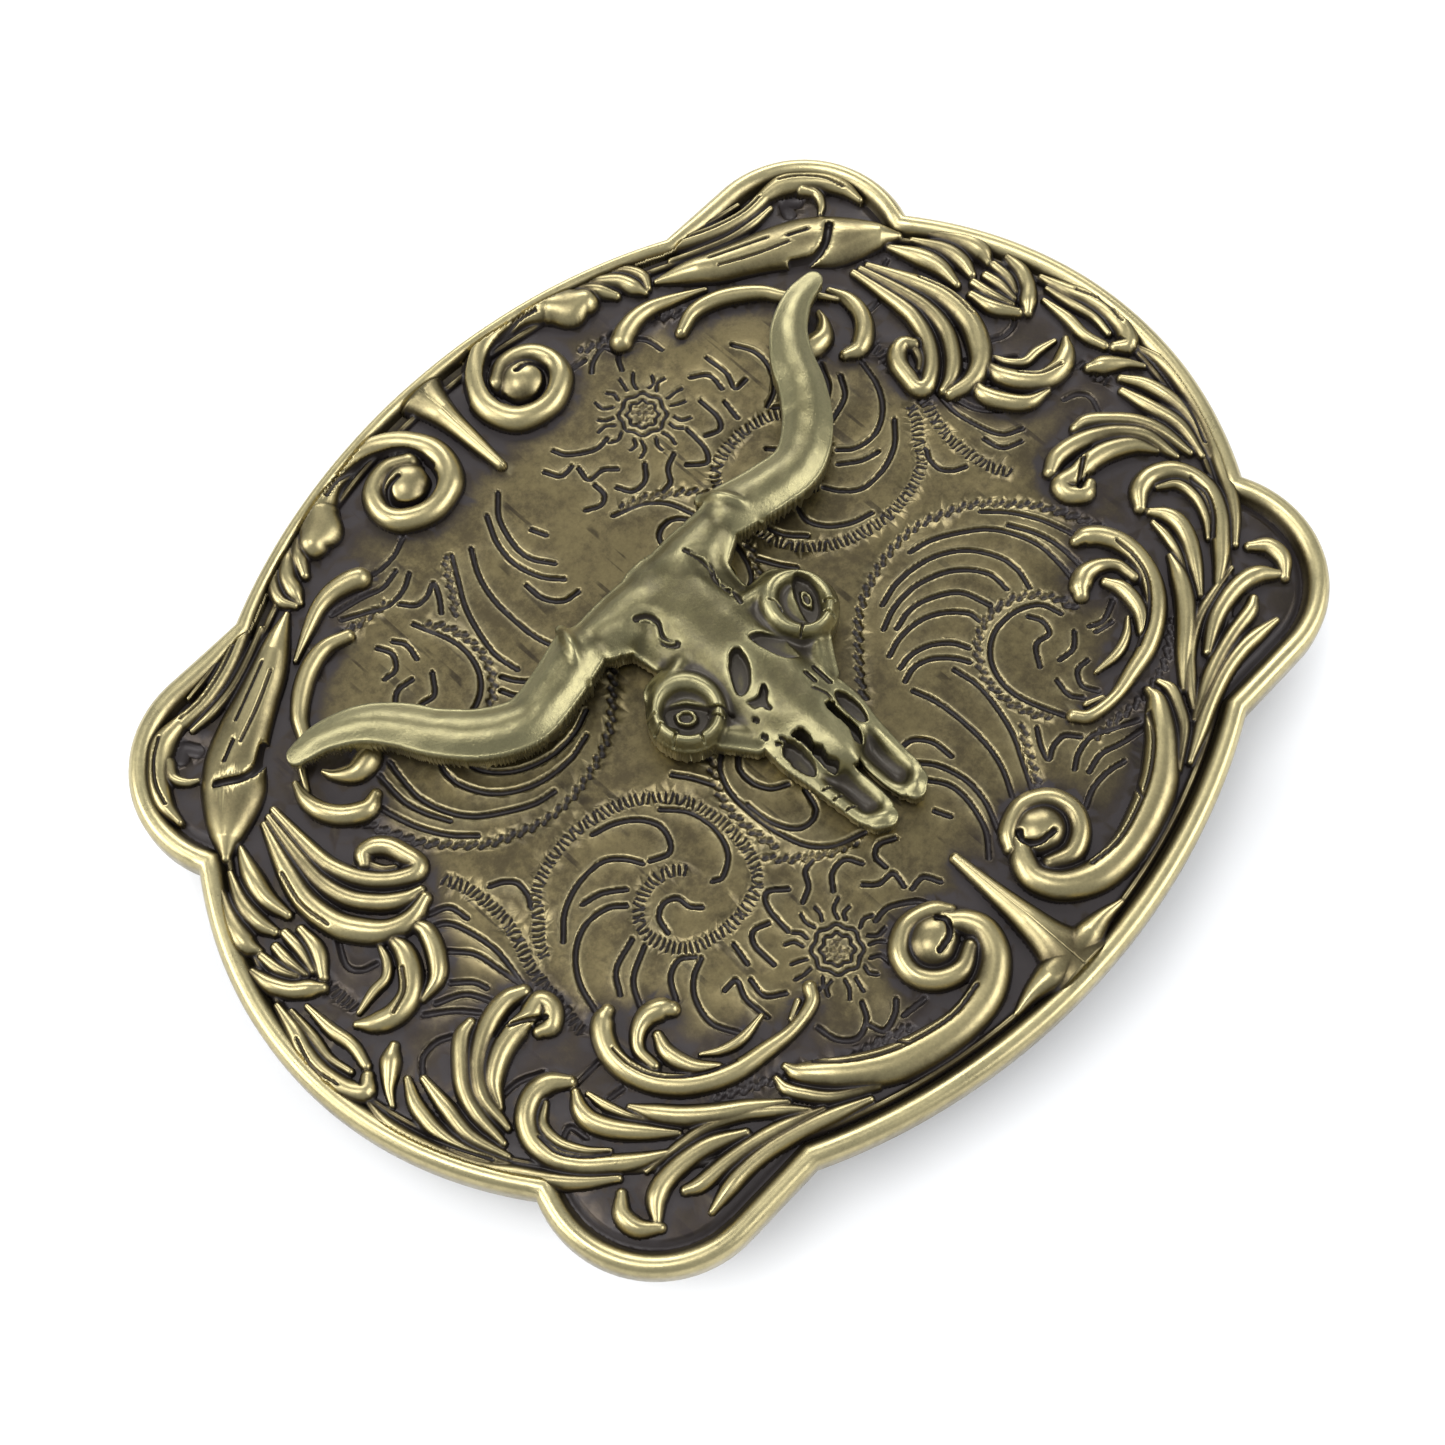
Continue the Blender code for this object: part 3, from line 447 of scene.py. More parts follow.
        (-24.8, -23.8, 0.85), (-22.3, -24.3, 0.75), (-19.5, -24.7, 0.6), (-16.9, -24.3, 0.6),
        (-16, -23.3, 0.6)],
    "curlTip": [(-17.5, -23.4, 0.35), (-18.9, -24, 0.3)],
    "branch": [(-24.8, -16.6, 0.7), (-25.4, -16, 0.95), (-26.6, -15.6, 0.9), (-28, -16, 0.7),
        (-29, -17.1, 0.6), (-29.1, -18.8, 0.6)],
    "stem": [(-27.1, -17.3, 0.5), (-27.6, -18.9, 0.75), (-27.1, -21, 0.75), (-25.8, -22.6, 0.6)],
    "thinBlade": [(-25.9, -20.8, 0.25), (-24.5, -21.8, 0.45), (-22.7, -22.3, 0.5), (-20.3, -22.1, 0.25)],
    "lowHook": [(-38, -24, 0.5), (-39.1, -25.2, 0.8), (-39, -26.75, 0.8), (-37.8, -28, 0.5)],
    "lowLeafA": [(-37.6, -27.4, 0.5), (-36.4, -26.2, 0.85), (-34.8, -25.7, 0.85), (-32.6, -25.8, 0.85),
        (-30.4, -26.4, 0.8), (-28, -27.7, 0.5)],
    "lowLeafB": [(-35.4, -24.2, 0.3), (-32, -24.7, 0.55), (-29.5, -25.3, 0.6), (-27, -26.6, 0.6),
        (-24.8, -28.5, 0.6), (-23.3, -30.1, 0.4)],
    "lowLeafC": [(-34.4, -27.4, 0.5), (-33.25, -27.9, 0.7), (-30.75, -28.2, 0.75), (-28.25, -28.7, 0.75),
        (-25.4, -29.6, 0.7), (-22.5, -30.8, 0.4)],
    "lowLeafD": [(-34.2, -30, 0.35), (-32, -29.7, 0.7), (-30.1, -29.6, 0.75), (-27.6, -29.9, 0.75),
        (-24.8, -30.7, 0.75), (-22, -31.8, 0.7), (-19.4, -32.9, 0.4)],
    "lowVoluteRib": [(-23.2, -26.4, 0.3), (-23.3, -27.6, 0.6), (-22.6, -28.9, 0.65), (-21.2, -30.7, 0.65),
        (-18.2, -32.6, 0.45)],
    "lowVolute": [(-22, -26.3, 0.4), (-21.7, -27.4, 0.85), (-20.5, -28.8, 1.15), (-18.7, -30.5, 1.35),
        (-16.1, -32.3, 1.5), (-12.9, -33.5, 1.5), (-9.8, -34.1, 1.4), (-6.7, -33.8, 1.4),
        (-4.2, -32.4, 1.3), (-3.1, -30.5, 1.2), (-3.4, -28.9, 1.1), (-4.5, -27.5, 0.9)],
    "lowButton": [(-6.7, -27.9, 1.95), (-6.3, -27.7, 1.95)],
    "lowRing": [(-3.7, -27.2, 0.7), (-4.7, -26.1, 0.85), (-7, -25.5, 0.9), (-9, -26.6, 0.95),
        (-9.6, -28.6, 0.95), (-8.6, -30.3, 0.95), (-6.7, -31.1, 0.95), (-4.8, -30.4, 0.8)],
    "baseFlare": [(0, -37.4, 3), (0, -36, 2.4), (0, -34.2, 1.6), (0, -31, 1.1), (0, -27.5, 0.75),
        (0, -24.5, 0.5)],
    "baseTips": [(-6.3, -36.6, 0.35), (-4.2, -36.4, 0.8), (-1.8, -36.6, 1.4), (0, -36.8, 1.6)],
}

# Cuts in the scrolls, as (x, y) lines with a half width and a depth
borderCuts = [
    (0.22, 0.4, [(-12.6, 36.4), (-10.75, 36.9), (-8.25, 36.8), (-6.4, 36.1), (-5, 35), (-4.3, 33.6),
        (-4.3, 32)]),
    (0.3, 0.6, [(-7.2, 33.2), (-8.4, 33.1), (-9, 32), (-8.3, 30.8), (-6.6, 30.3), (-5, 31), (-4.7, 32.4)]),
    (0.3, 0.6, [(-6.4, 38.3), (-4.8, 37.4), (-3.4, 36.3), (-2.1, 34.4)]),
    (0.4, 0.7, [(-36.9, 23.5), (-35.2, 22.4), (-33.6, 22.3), (-31.9, 23.3)]),
    (0.2, 0.35, [(-35.1, 24.5), (-33.4, 25.3)]),
    (0.16, 0.3, [(-32, 26.5), (-29.6, 27.6), (-27, 28.8)]),
    (0.16, 0.25, [(-33, 24.8), (-30, 26.1), (-27, 27.7)]),
    (0.3, 0.6, [(-31.6, 17.3), (-31.3, 15.8), (-30.2, 14.8), (-29, 14.5)]),
    (0.22, 0.4, [(-35.9, -8.2), (-34.4, -7.9), (-33.1, -7.9)]),
    (0.25, 0.45, [(-34.6, -8.4), (-33.25, -9.2), (-32.2, -10)]),
    (0.2, 0.4, [(-14.9, -30.8), (-14.1, -32.2)]),
    (0.28, 0.5, [(-6.9, -28.9), (-5.4, -28.6), (-4.6, -27.6), (-5, -26.9)]),
    (0.2, 0.35, [(-20.3, -27.7), (-18.6, -29.6), (-15.9, -31.4), (-12.8, -32.6), (-9.8, -33.2),
        (-7, -32.9)]),
    (0.16, 0.3, [(-45.6, -6.4), (-45.2, -9.6), (-44.3, -12.4), (-43, -15)]),
    (0.16, 0.3, [(-46.9, 3), (-47.6, 0.4), (-47.2, -2)]),
    (0.16, 0.28, [(-38.4, 14), (-39.1, 10.9), (-38.8, 8.1)]),
    (0.2, 0.3, [(-40.2, -1), (-38.4, -0.3), (-37.2, 1.2)]),
    (0.16, 0.3, [(-39.3, -16.4), (-39.2, -18.2), (-38.1, -19.9), (-36.5, -21.3)]),
    (0.16, 0.3, [(-30.4, -15.6), (-30.4, -17.4), (-29.8, -19.3), (-28.5, -20.9), (-26.6, -22.3),
        (-24.4, -23.2)]),
    (0.16, 0.3, [(-35, 30.2), (-32.6, 30.2), (-30.1, 30.8), (-27.9, 31.7), (-25.4, 33)]),
    (0.18, 0.35, [(-37.4, 30.1), (-39, 28.9), (-40.3, 27.2), (-40.9, 25.4)]),
]

# Ground cuts in the corners and the channels between the scrolls
channelCuts = [
    (0.45, 0.4, [(-34.1, 32.2), (-37, 31.4), (-38.9, 30.2), (-40.75, 28.6), (-41.9, 26.6), (-42.3, 24.5),
        (-42.2, 22)]),
    (0.7, 0.4, [(-37.2, 27.8), (-36.5, 28.3), (-35.9, 27.4)]),
]


# Engraving of the lower half, as (x, y) lines. The upper half is the same, turned half round.
engraving = [
    [(-26.7, -6.3), (-24.8, -4.6), (-22.3, -3.7), (-19.8, -3.8), (-18.4, -4.9), (-17.6, -6.3)],
    [(-18.6, -1.6), (-16.7, -2.25), (-15.1, -3.5), (-14.3, -5.1), (-14.7, -6.6), (-15.6, -7.25),
        (-17, -6.6)],
    [(-23.4, -5.2), (-21.7, -5.7), (-20.1, -6.9)],
    [(-29, -12.25), (-28.25, -9.75), (-26.7, -7.7), (-24.5, -6.6), (-22.3, -6.9), (-21.1, -7.9)],
    [(-13.25, -4.1), (-11.8, -6), (-11.4, -8.5), (-12.2, -10.7), (-13.9, -11.8), (-14.8, -11.5)],
    [(-26.7, -12.7), (-25.4, -11), (-22.8, -10.2)],
    [(-26.4, -14.75), (-25.1, -12.6), (-22.5, -11.3)],
    [(-20.4, -11.9), (-20, -10.5), (-18.9, -9.9), (-17.8, -10.4), (-17.6, -11.6), (-17, -12.4)],
    [(-24, -16.3), (-22.9, -14.6), (-21.4, -14.1), (-20.3, -14.9)],
    [(-22.5, -21.75), (-23.4, -19.6), (-22.9, -17.4), (-21.7, -16), (-20.1, -15.3)],
    [(-27.5, 1.3), (-26.4, 0.7), (-25.75, -0.2), (-25.9, -1.5), (-26.4, -2.25)],
    [(-33.6, 2.4), (-32, 1.5), (-31.2, -0.7), (-30.9, -3.2), (-31.4, -6.3)],
    [(-33.7, -0.1), (-32.3, -1.9), (-31.8, -4.4), (-31.5, -6.3)],
    [(-32.6, 3.2), (-31, 2.4), (-30.6, 0.7)],
    [(-35.3, -2.25), (-34, -3.5), (-33.6, -4.6)],
    [(-37.3, -2.6), (-35.1, -3.8), (-34, -6)],
    [(-38.6, -2.6), (-36.7, -4.1), (-35.4, -5.7)],
    [(-42, -6), (-41, -5), (-39.5, -4.9), (-38.25, -5.5)],
    [(-38.9, 7.1), (-40, 4.9), (-39.5, 3.7), (-38.25, 3.2)],
    [(-39.5, -11.75), (-37.3, -11.9), (-35.4, -12.8)],
    [(-34.5, -15.3), (-31.7, -15.3)],
    [(-33.25, -18), (-32, -18.2)],
    [(-38.25, -17.7), (-37, -17.4), (-36.7, -18.9)],
    [(-10.4, -2.7), (-9.5, -4.1), (-8.7, -5.8)],
    [(-5.75, -4.1), (-7.3, -5.1), (-8.25, -7.25), (-8.4, -10), (-8.1, -12.6), (-7.3, -15), (-5.75, -16.6),
        (-3.25, -17.6)],
    [(-5.1, -5.2), (-6.2, -6.3), (-6.4, -7.9), (-5.75, -9.4), (-4.5, -10.2)],
    [(-8.1, -9), (-7.9, -11.3), (-7, -13.2), (-5.75, -13.8), (-4.5, -13.3), (-3.9, -11.6)],
    [(-16.5, -19.9), (-16.4, -17.7), (-15.6, -16.75), (-14.3, -17.2)],
    [(-17.9, -18.3), (-17.5, -16.4)],
    [(-13.7, -18.8), (-13.4, -16.4), (-12.5, -15.3), (-11.1, -16.4)],
    [(-11.1, -18), (-9.8, -17.4), (-9, -16.3), (-7.9, -16.1)],
    [(-8.7, -19.1), (-7.6, -18), (-6.1, -18), (-5.4, -19.25)],
    [(-20.75, -18.5), (-19.5, -18.6), (-20.1, -20.2), (-20, -22.5)],
    [(-18.7, -19.4), (-18.9, -21.1), (-17.6, -22.2)],
    [(-6.7, -20.5), (-5.75, -21.4), (-4.3, -21.6), (-4.5, -23)],
    [(-8.25, -23.3), (-6.7, -23.3), (-4.8, -24.6), (-4.2, -25.8)],
    [(-4.3, -20.8), (-4.2, -19.6), (-3.25, -19.1), (-2, -19.7)],
    [(-4.2, -23.6), (-2.9, -23.6), (-2.2, -24.9)],
    [(-17.9, -26), (-17.6, -27.7), (-16.4, -28.8), (-14.8, -28.3), (-14, -27.1)],
    [(-15, -28.5), (-14.5, -29.9), (-12.9, -29.6), (-12, -28.9)],
    [(-12.5, -30.2), (-10.4, -30.5)],
    [(18.1, -3.3), (20.1, -3.8), (22.3, -5.1), (24.2, -6.6), (25.4, -8.5), (26.1, -11), (25.9, -13.5),
        (25.6, -15)],
    [(12.8, -4.9), (15.1, -4.4), (17.6, -4.6), (19.8, -5.4), (21.7, -6.9), (22.9, -9.1), (23.1, -11),
        (22.5, -12.9)],
    [(11.2, -6.5), (13.25, -5.8), (15.75, -5.7), (18.25, -6.5), (20.1, -7.9), (21.2, -9.75), (21.1, -11.6)],
    [(12, -7.25), (14.2, -6.9), (16.4, -7.6), (18.25, -9.1), (19, -11.6)],
    [(9.7, -8.5), (11.7, -8), (13.9, -8.2), (15.75, -9.1), (17.2, -10.7), (17.3, -11.8)],
    [(9.5, -9.9), (11.1, -9.75), (12.9, -10.4), (14.2, -11.6), (14.8, -12.9)],
    [(8.9, -11), (10.4, -10.7), (12, -11.3), (13.25, -12.6), (13.9, -13.8)],
    [(25.1, -5.1), (26.7, -6.9), (27.9, -9.1), (28.6, -11.3), (28.9, -12.6)],
    [(25.75, -7.7), (26.7, -9.75), (27.2, -11.9), (27, -14.75)],
    [(8.7, -12.1), (9.3, -14.1), (9.5, -16.7), (9.3, -19.6), (8.6, -22), (7.3, -24.25)],
    [(12.5, -13.3), (12.8, -15.7), (12.3, -18.3), (11.4, -20.8), (10.1, -23), (8.9, -25)],
    [(3.9, -14.7), (5.4, -15), (6.4, -16.4), (6.5, -18.3)],
    [(3.9, -16.4), (5.1, -18), (5.75, -20.5), (5.4, -23), (4.2, -25.5)],
    [(3.4, -18), (4.5, -19.9), (4.5, -22), (3.6, -24.6), (2, -26.4)],
    [(2, -20.5), (2.5, -21.75)],
    [(22.5, -16.4), (22, -14.7), (20.4, -13.6), (18.25, -13.3), (16.4, -13.9), (15, -15.3), (14.3, -17.4),
        (14.5, -19.6), (15.6, -22.7)],
    [(20.4, -14.6), (20.9, -15.8), (20.4, -16.9), (18.9, -16.75), (17.6, -18.3)],
    [(19.2, -19.1), (20.75, -19.25), (22, -18.3)],
    [(17.6, -20.2), (17.3, -21.75), (17.9, -22.8)],
    [(20.75, -20.8), (19.5, -20.8), (18.7, -22), (19.2, -23.3)],
    [(23.25, -18.9), (24.5, -19.4), (26.4, -18.8)],
    [(23.25, -19.6), (24.8, -20)],
    [(13.25, -21.75), (12.3, -23), (11.8, -24.25), (12.9, -23.8), (14.2, -23.8), (15.1, -24.9)],
    [(12.6, -26.4), (13.9, -25.7), (15.75, -25.5), (17.6, -26.4), (19.5, -27.4)],
    [(13.25, -27.4), (15.1, -27.1), (17, -27.7), (19.8, -28.3)],
    [(10.6, -29.25), (12.3, -28.6), (14.2, -28.5), (15.9, -28.9)],
]

ropes = [
    [(-7, -3.8), (-8.25, -5.4), (-9.2, -7.25), (-9.5, -9.75), (-9.3, -12.25), (-8.9, -13.5)],
    [(-10.4, -12.9), (-9.5, -14.4), (-7.9, -15.7), (-6.4, -16.8), (-4.2, -17.7)],
    [(-27.6, -23.9), (-25.4, -25.2), (-23.25, -26.4), (-20.75, -28), (-18.9, -29.25), (-16.7, -29.9),
        (-14.5, -30.5), (-12.5, -31.3)],
    [(5.3, -9.75), (6.7, -7.9), (8.6, -6), (10.75, -4.1), (12.9, -3), (15.4, -2.25), (17.9, -1.9),
        (20.4, -2.1), (22.9, -3), (25.1, -4.1), (27, -6), (28.6, -7.9), (29.5, -9.75), (30.3, -11.6),
        (30.9, -13.5)],
    [(23.6, -17.1), (23.4, -15.5), (22.3, -13.6), (20.4, -12.4), (18.25, -12.1), (16.1, -12.8),
        (14.5, -14.25), (13.6, -16.1), (13.4, -18.3), (13.9, -20.5), (15, -22)],
    [(12.8, -20.7), (11.7, -21.75), (10.75, -23.3), (9.2, -25.5)],
    [(15.75, -25.8), (18.25, -26.1), (20.75, -26.3), (23.9, -26), (26.4, -24.9), (28.6, -23.3)],
]

ladders = [
    [(-28.7, -6.3), (-27.9, -4.75), (-26.7, -3.5), (-25.4, -1.9), (-23.6, -1), (-21.4, -0.5), (-19.2, -0.4),
        (-17, -0.8), (-14.8, -1.6), (-12.9, -3), (-11.5, -4.75), (-10.75, -7.25), (-10.6, -9.75),
        (-11.1, -12.25), (-12.3, -14.1), (-14.2, -14.9), (-16.1, -15.1), (-17.9, -14.9), (-19.8, -14.3),
        (-21.1, -12.9), (-21.7, -11), (-21.2, -9.4), (-19.8, -8.3), (-17.9, -8), (-16.4, -8.5),
        (-15.6, -9.3)],
    [(-29.7, 4.6), (-28.9, 2.75), (-28.6, 0.6), (-28.6, -1.6), (-29.2, -3.8), (-30, -6), (-30.4, -8.5),
        (-30.75, -11), (-30.9, -12.9)],
    [(-42.3, 4.9), (-41.9, 1.5)],
]

flower = (-12.1, -22.7)
flowerPetals = [(28, 2.6, 3.7), (42, 2.6, 4.3), (70, 2.7, 3.9), (88, 2.6, 4.1), (112, 2.6, 3.8),
        (128, 2.8, 4.2), (152, 2.6, 3.9), (170, 2.7, 4.2), (196, 2.6, 4), (212, 2.7, 3.9), (236, 2.6, 4.2),
        (254, 2.8, 4), (280, 2.6, 3.8), (298, 2.7, 4.3), (322, 2.6, 3.9), (338, 2.7, 4.2), (358, 2.6, 4)]

fieldValues = {
    "step": 0.105,
    "mostFaces": 190000, "scrollFaces": 165000,
    "grooveHalf": 0.26, "grooveDepth": 0.34,
    "ropePitch": 0.54, "ropeDot": 0.31, "ropeSway": 0.13, "ropeDepth": 0.26,
    "rungPitch": 0.47, "rungHalf": 0.15, "rungReach": 0.42, "rungDepth": 0.26,
    "channelInset": 2.1, "channelWidth": 3.1, "channelSlope": 0.9, "channelDrop": 0.35, "floor": 8.75,
    "unevenness": 0.02, "seed": 7,
    # the thin moulding inside the rim
    "filletInset": 2.55, "filletHalf": 0.42, "filletSunk": 0.5, "filletRise": 0.95, "filletFromEdge": 1.9,
}


def drawEngraving(sheet):
    v = fieldValues
    rng = np.random.default_rng(v["seed"])
    depth = np.zeros(sheet["shape"])
    for points in engraving:
        addGroove(depth, sheet, points, v["grooveHalf"], v["grooveDepth"], lip=0.025)
    for points in ropes:
        for k, (x, y, turn) in enumerate(dotsAlong(points, v["ropePitch"])):
            side = v["ropeSway"] * (1 if k % 2 else -1)
            x, y = x - side * math.sin(turn), y + side * math.cos(turn)
            dx, dy = 0.1 * math.cos(turn + 0.7), 0.1 * math.sin(turn + 0.7)
            half = v["ropeDot"] * rng.uniform(0.88, 1.08)
            addGroove(depth, sheet, [(x - dx, y - dy), (x + dx, y + dy)], half, v["ropeDepth"])
    for points in ladders:
        for x, y, turn in dotsAlong(points, v["rungPitch"]):
            lean = turn + math.pi / 2 + rng.uniform(-0.35, 0.35)
            reach = v["rungReach"] * rng.uniform(0.8, 1.15)
            bend = rng.uniform(-0.12, 0.12)
            dx, dy = reach * math.cos(lean), reach * math.sin(lean)
            addGroove(depth, sheet, [(x - dx, y - dy), (x + bend, y + bend), (x + dx, y + dy)], v["rungHalf"],
                      v["rungDepth"])
    fx, fy = flower
    for radius, waves, half in ((2.0, 8, 0.2), (1.3, 8, 0.17)):
        ring = [(fx + (radius + 0.13 * math.cos(waves * a)) * math.cos(a),
                 fy + (radius + 0.13 * math.cos(waves * a)) * math.sin(a))
                for a in (2 * math.pi * k / 48 for k in range(49))]
        addGroove(depth, sheet, ring, half, 0.26, lip=0.02)
    for _ in range(26):
        a, r = rng.uniform(0, 2 * math.pi), 0.95 * math.sqrt(rng.uniform(0, 1))
        x, y = fx + r * math.cos(a), fy + r * math.sin(a)
        dx, dy = rng.uniform(-0.2, 0.2), rng.uniform(-0.2, 0.2)
        addGroove(depth, sheet, [(x, y), (x + dx, y + dy)], 0.12, 0.16)
    for degrees, near, far in flowerPetals:
        a = math.radians(degrees)
        middle, sway = (near + far) / 2, rng.uniform(-0.12, 0.12)
        addGroove(depth, sheet, [(fx + near * math.cos(a), fy + near * math.sin(a)),
                                 (fx + middle * math.cos(a + sway), fy + middle * math.sin(a + sway)),
                                 (fx + far * math.cos(a), fy + far * math.sin(a))], 0.2, 0.28, lip=0.02)
    turned = depth[::-1, ::-1]
    return np.where(np.abs(turned) > np.abs(depth), turned, depth)


def edgeDistance(sheet, reach=6.0):
    # Distance inwards from the plate's edge, level past its reach.
    loop = np.vstack([edge, edge[:1]])
    (rows, cols), far, _ = nearLine(sheet, loop, reach)
    away = np.full(sheet["shape"], reach)
    away[rows, cols] = np.minimum(far, reach)
    return np.where(insideOf(sheet, edge), away, -away)


borderValues = {
    "spread": 1.17,  # scrolls are drawn a little wider than the lines they follow
    "sunk": 0.25, "roundness": 0.55, "thinRise": 0.28, "riseShare": 0.92, "tallest": 1.62,
    "seam": 0.22,  # how far a scroll's edge dives under the ground
    "floor": 9.05, "rimGap": 1.4,
}


def borderRise(width):
    v = borderValues
    return np.minimum(v["thinRise"] + v["riseShare"] * width, v["tallest"]) + v["sunk"]


def drawBorder(sheet):
    # Heights of the scrolls alone, on the left half, copied to the right.
    height = np.full(sheet["shape"], -50.0)
    for points in borderStrokes.values():
        wide = [(x, y, w * borderValues["spread"]) for x, y, w in points]
        addRidge(height, sheet, wide, fieldZ - borderValues["sunk"], borderRise, borderValues["roundness"])
    cut = np.zeros(sheet["shape"])
    for half, deep, points in borderCuts:
        addGroove(cut, sheet, points, half, deep)
    height -= cut
    centre = sheet["shape"][1] // 2
    height[:, centre + 1:] = height[:, :centre][:, ::-1]
    return height


print("drawing the face")
faceSheet = makeSheet(49.6, -40.0, 40.0, fieldValues["step"])
faceEdge = edgeDistance(faceSheet)
scrolls = drawBorder(faceSheet)
engraved = drawEngraving(faceSheet)
waver = blur(np.random.default_rng(3).normal(size=faceSheet["shape"]), 0.9, faceSheet["step"])
waver *= fieldValues["unevenness"] / waver.std()
ground = fieldZ - engraved + waver
channel = np.clip((fieldValues["channelWidth"] - faceEdge) / fieldValues["channelSlope"], 0, 1)
ground -= fieldValues["channelDrop"] * channel**2 * (3 - 2 * channel)
channelDepth = np.zeros(faceSheet["shape"])
for half, deep, points in channelCuts:
    addGroove(channelDepth, faceSheet, points, half, deep)
channelDepth = np.maximum(channelDepth, channelDepth[:, ::-1])
ground -= channelDepth

# The thin moulding that follows the oval inside the rim
ovalPoints = [(plateValues["halfWidth"] * math.cos(a), plateValues["halfHeight"] * math.sin(a))
              for a in np.linspace(0, 2 * math.pi, 361)]
ovalLoop = insetLine(np.array(ovalPoints[:-1]), fieldValues["filletInset"])
filletHalf = fieldValues["filletHalf"]
(ovalRows, ovalCols), ovalFar, _ = nearLine(faceSheet, np.vstack([ovalLoop, ovalLoop[:1]]), 0.9)
fillet = np.full(faceSheet["shape"], -50.0)
filletRound = np.sqrt(np.clip(1 - (ovalFar / filletHalf)**2, 0, 1))
filletTop = fieldZ - fieldValues["filletSunk"] + fieldValues["filletRise"] * filletRound
fillet[ovalRows, ovalCols] = np.where(ovalFar < filletHalf, filletTop, -50)
fillet = np.where(faceEdge > fieldValues["filletFromEdge"], fillet, -50)
scrolls = np.maximum(scrolls, fillet)

# Wide and narrow hollows, for the dark finish to settle in, and painted shade around the scrolls and rim
rimTop = np.interp(faceEdge, [0, 0.3, 0.9, 1.6, 1.95, 2.3], [9.8, 10.5, 10.8, 10.5, 9.9, 9.2])
whole = np.maximum(np.maximum(ground, scrolls), np.where(faceEdge < 2.3, rimTop, 0))
whole = np.where(faceEdge > 0, whole, fieldZ)
step = faceSheet["step"]
faceValues = {
    "fine": whole - blur(whole, 0.28, step),
    "wide": whole - blur(whole, 1.1, step),
    # soft dark around the scrolls and in from the rim: partly patina, partly painted shade
    "hollow": blur(np.where((scrolls > ground) & (faceEdge > 0), 1.0, 0.0), 1.0, step)
    + blur(np.where((scrolls > ground) | (faceEdge < 2), 1.0, 0.0), 3.6, step),
}


def buildField(material):
    v = fieldValues
    inside = faceEdge - v["channelInset"]
    piece = reliefMesh("engravedField", faceSheet, ground, inside, v["floor"], v["mostFaces"])
    storeValues(piece, faceSheet, **faceValues)
    finishPiece(piece, "plate", "cast_plate", material)


def buildScrolls(material):
    # Left and right halves of the border. Each dives under the engraved ground at its edges.
    inside = np.where(faceEdge > borderValues["rimGap"], scrolls - (ground - borderValues["seam"]), -1)
    for side, name in ((-1, "scrollBorderLeft"), (1, "scrollBorderRight")):
        half = np.where(side * faceSheet["xs"][None, :] > -step / 2, inside, -1)
        piece = reliefMesh(name, faceSheet, scrolls, half, borderValues["floor"], fieldValues["scrollFaces"],
                           snap=False)
        storeValues(piece, faceSheet, **faceValues)
        finishPiece(piece, "plate", "cast_plate", material)


def buildShell(material):
    # The rim bead, wall and back of the casting, swept round the plate's edge.
    rng = np.random.default_rng(11)
    count = len(edge)
    phase = rng.uniform(0, 2 * math.pi, 5)
    around = np.arange(count) / count * 2 * math.pi
    sway = sum(np.sin(k * around + p) for k, p in zip((5, 9, 14, 23, 31), phase)) / 5
    rings = []
    topShare = np.clip((edge[:, 1] - 27) / 8, 0, 1) * np.clip((30 - np.abs(edge[:, 0])) / 5, 0, 1)
    for inset, z, _ in plateValues["profile"]:
        slim = 1 - plateValues["narrowTop"] * topShare * (z > 9.3)
        line = insetLine(edge, 1.0)
        line = edge + (line - edge) * (inset * slim)[:, None]
        rise = plateValues["rimWaver"] * sway * np.clip((z - 9.4) / 1.4, 0, 1)
        rings.append(np.column_stack([line, np.full(count, z) + rise - 0.02]))
    verts = np.vstack(rings) * mm
    faces = []
    for k in range(len(rings) - 1):
        a, b = k * count, (k + 1) * count
        faces += [(a + i, a + (i + 1) % count, b + (i + 1) % count, b + i) for i in range(count)]
    mesh = bpy.data.meshes.new("castShell")
    mesh.from_pydata(verts.tolist(), [], faces)
    shell = bpy.data.objects.new("castShell", mesh)
    bpy.context.collection.objects.link(shell)
    bm = bmesh.new()
    bm.from_mesh(mesh)
    bmesh.ops.triangle_fill(bm, edges=[e for e in bm.edges if e.is_boundary and e.verts[0].co.z > 8.5 * mm],
                            use_beauty=False)
    bmesh.ops.triangle_fill(bm, edges=[e for e in bm.edges if e.is_boundary], use_beauty=False)
    bmesh.ops.recalc_face_normals(bm, faces=bm.faces)
    bm.normal_update()
    if sum(f.normal.z * f.calc_area() for f in bm.faces if f.calc_center_median().z > 8.8 * mm) < 0:
        bmesh.ops.reverse_faces(bm, faces=bm.faces)
    print("castShell open edges", sum(1 for e in bm.edges if not e.is_manifold))
    bm.to_mesh(mesh)
    bm.free()
    pick(shell)
    bpy.ops.object.shade_smooth_by_angle(angle=math.radians(50))
    rubbing = np.repeat([row[2] for row in plateValues["profile"]], count)
    rubbing = rubbing + 0.1 * np.tile(sway, len(rings))
    for name, values in (("fine", 0 * rubbing), ("wide", rubbing)):
        layer = mesh.attributes.new(name, "FLOAT", "POINT")
        layer.data.foreach_set("value", values.astype(np.float32))
    finishPiece(shell, "plate", "cast_plate", material, "face_plate")


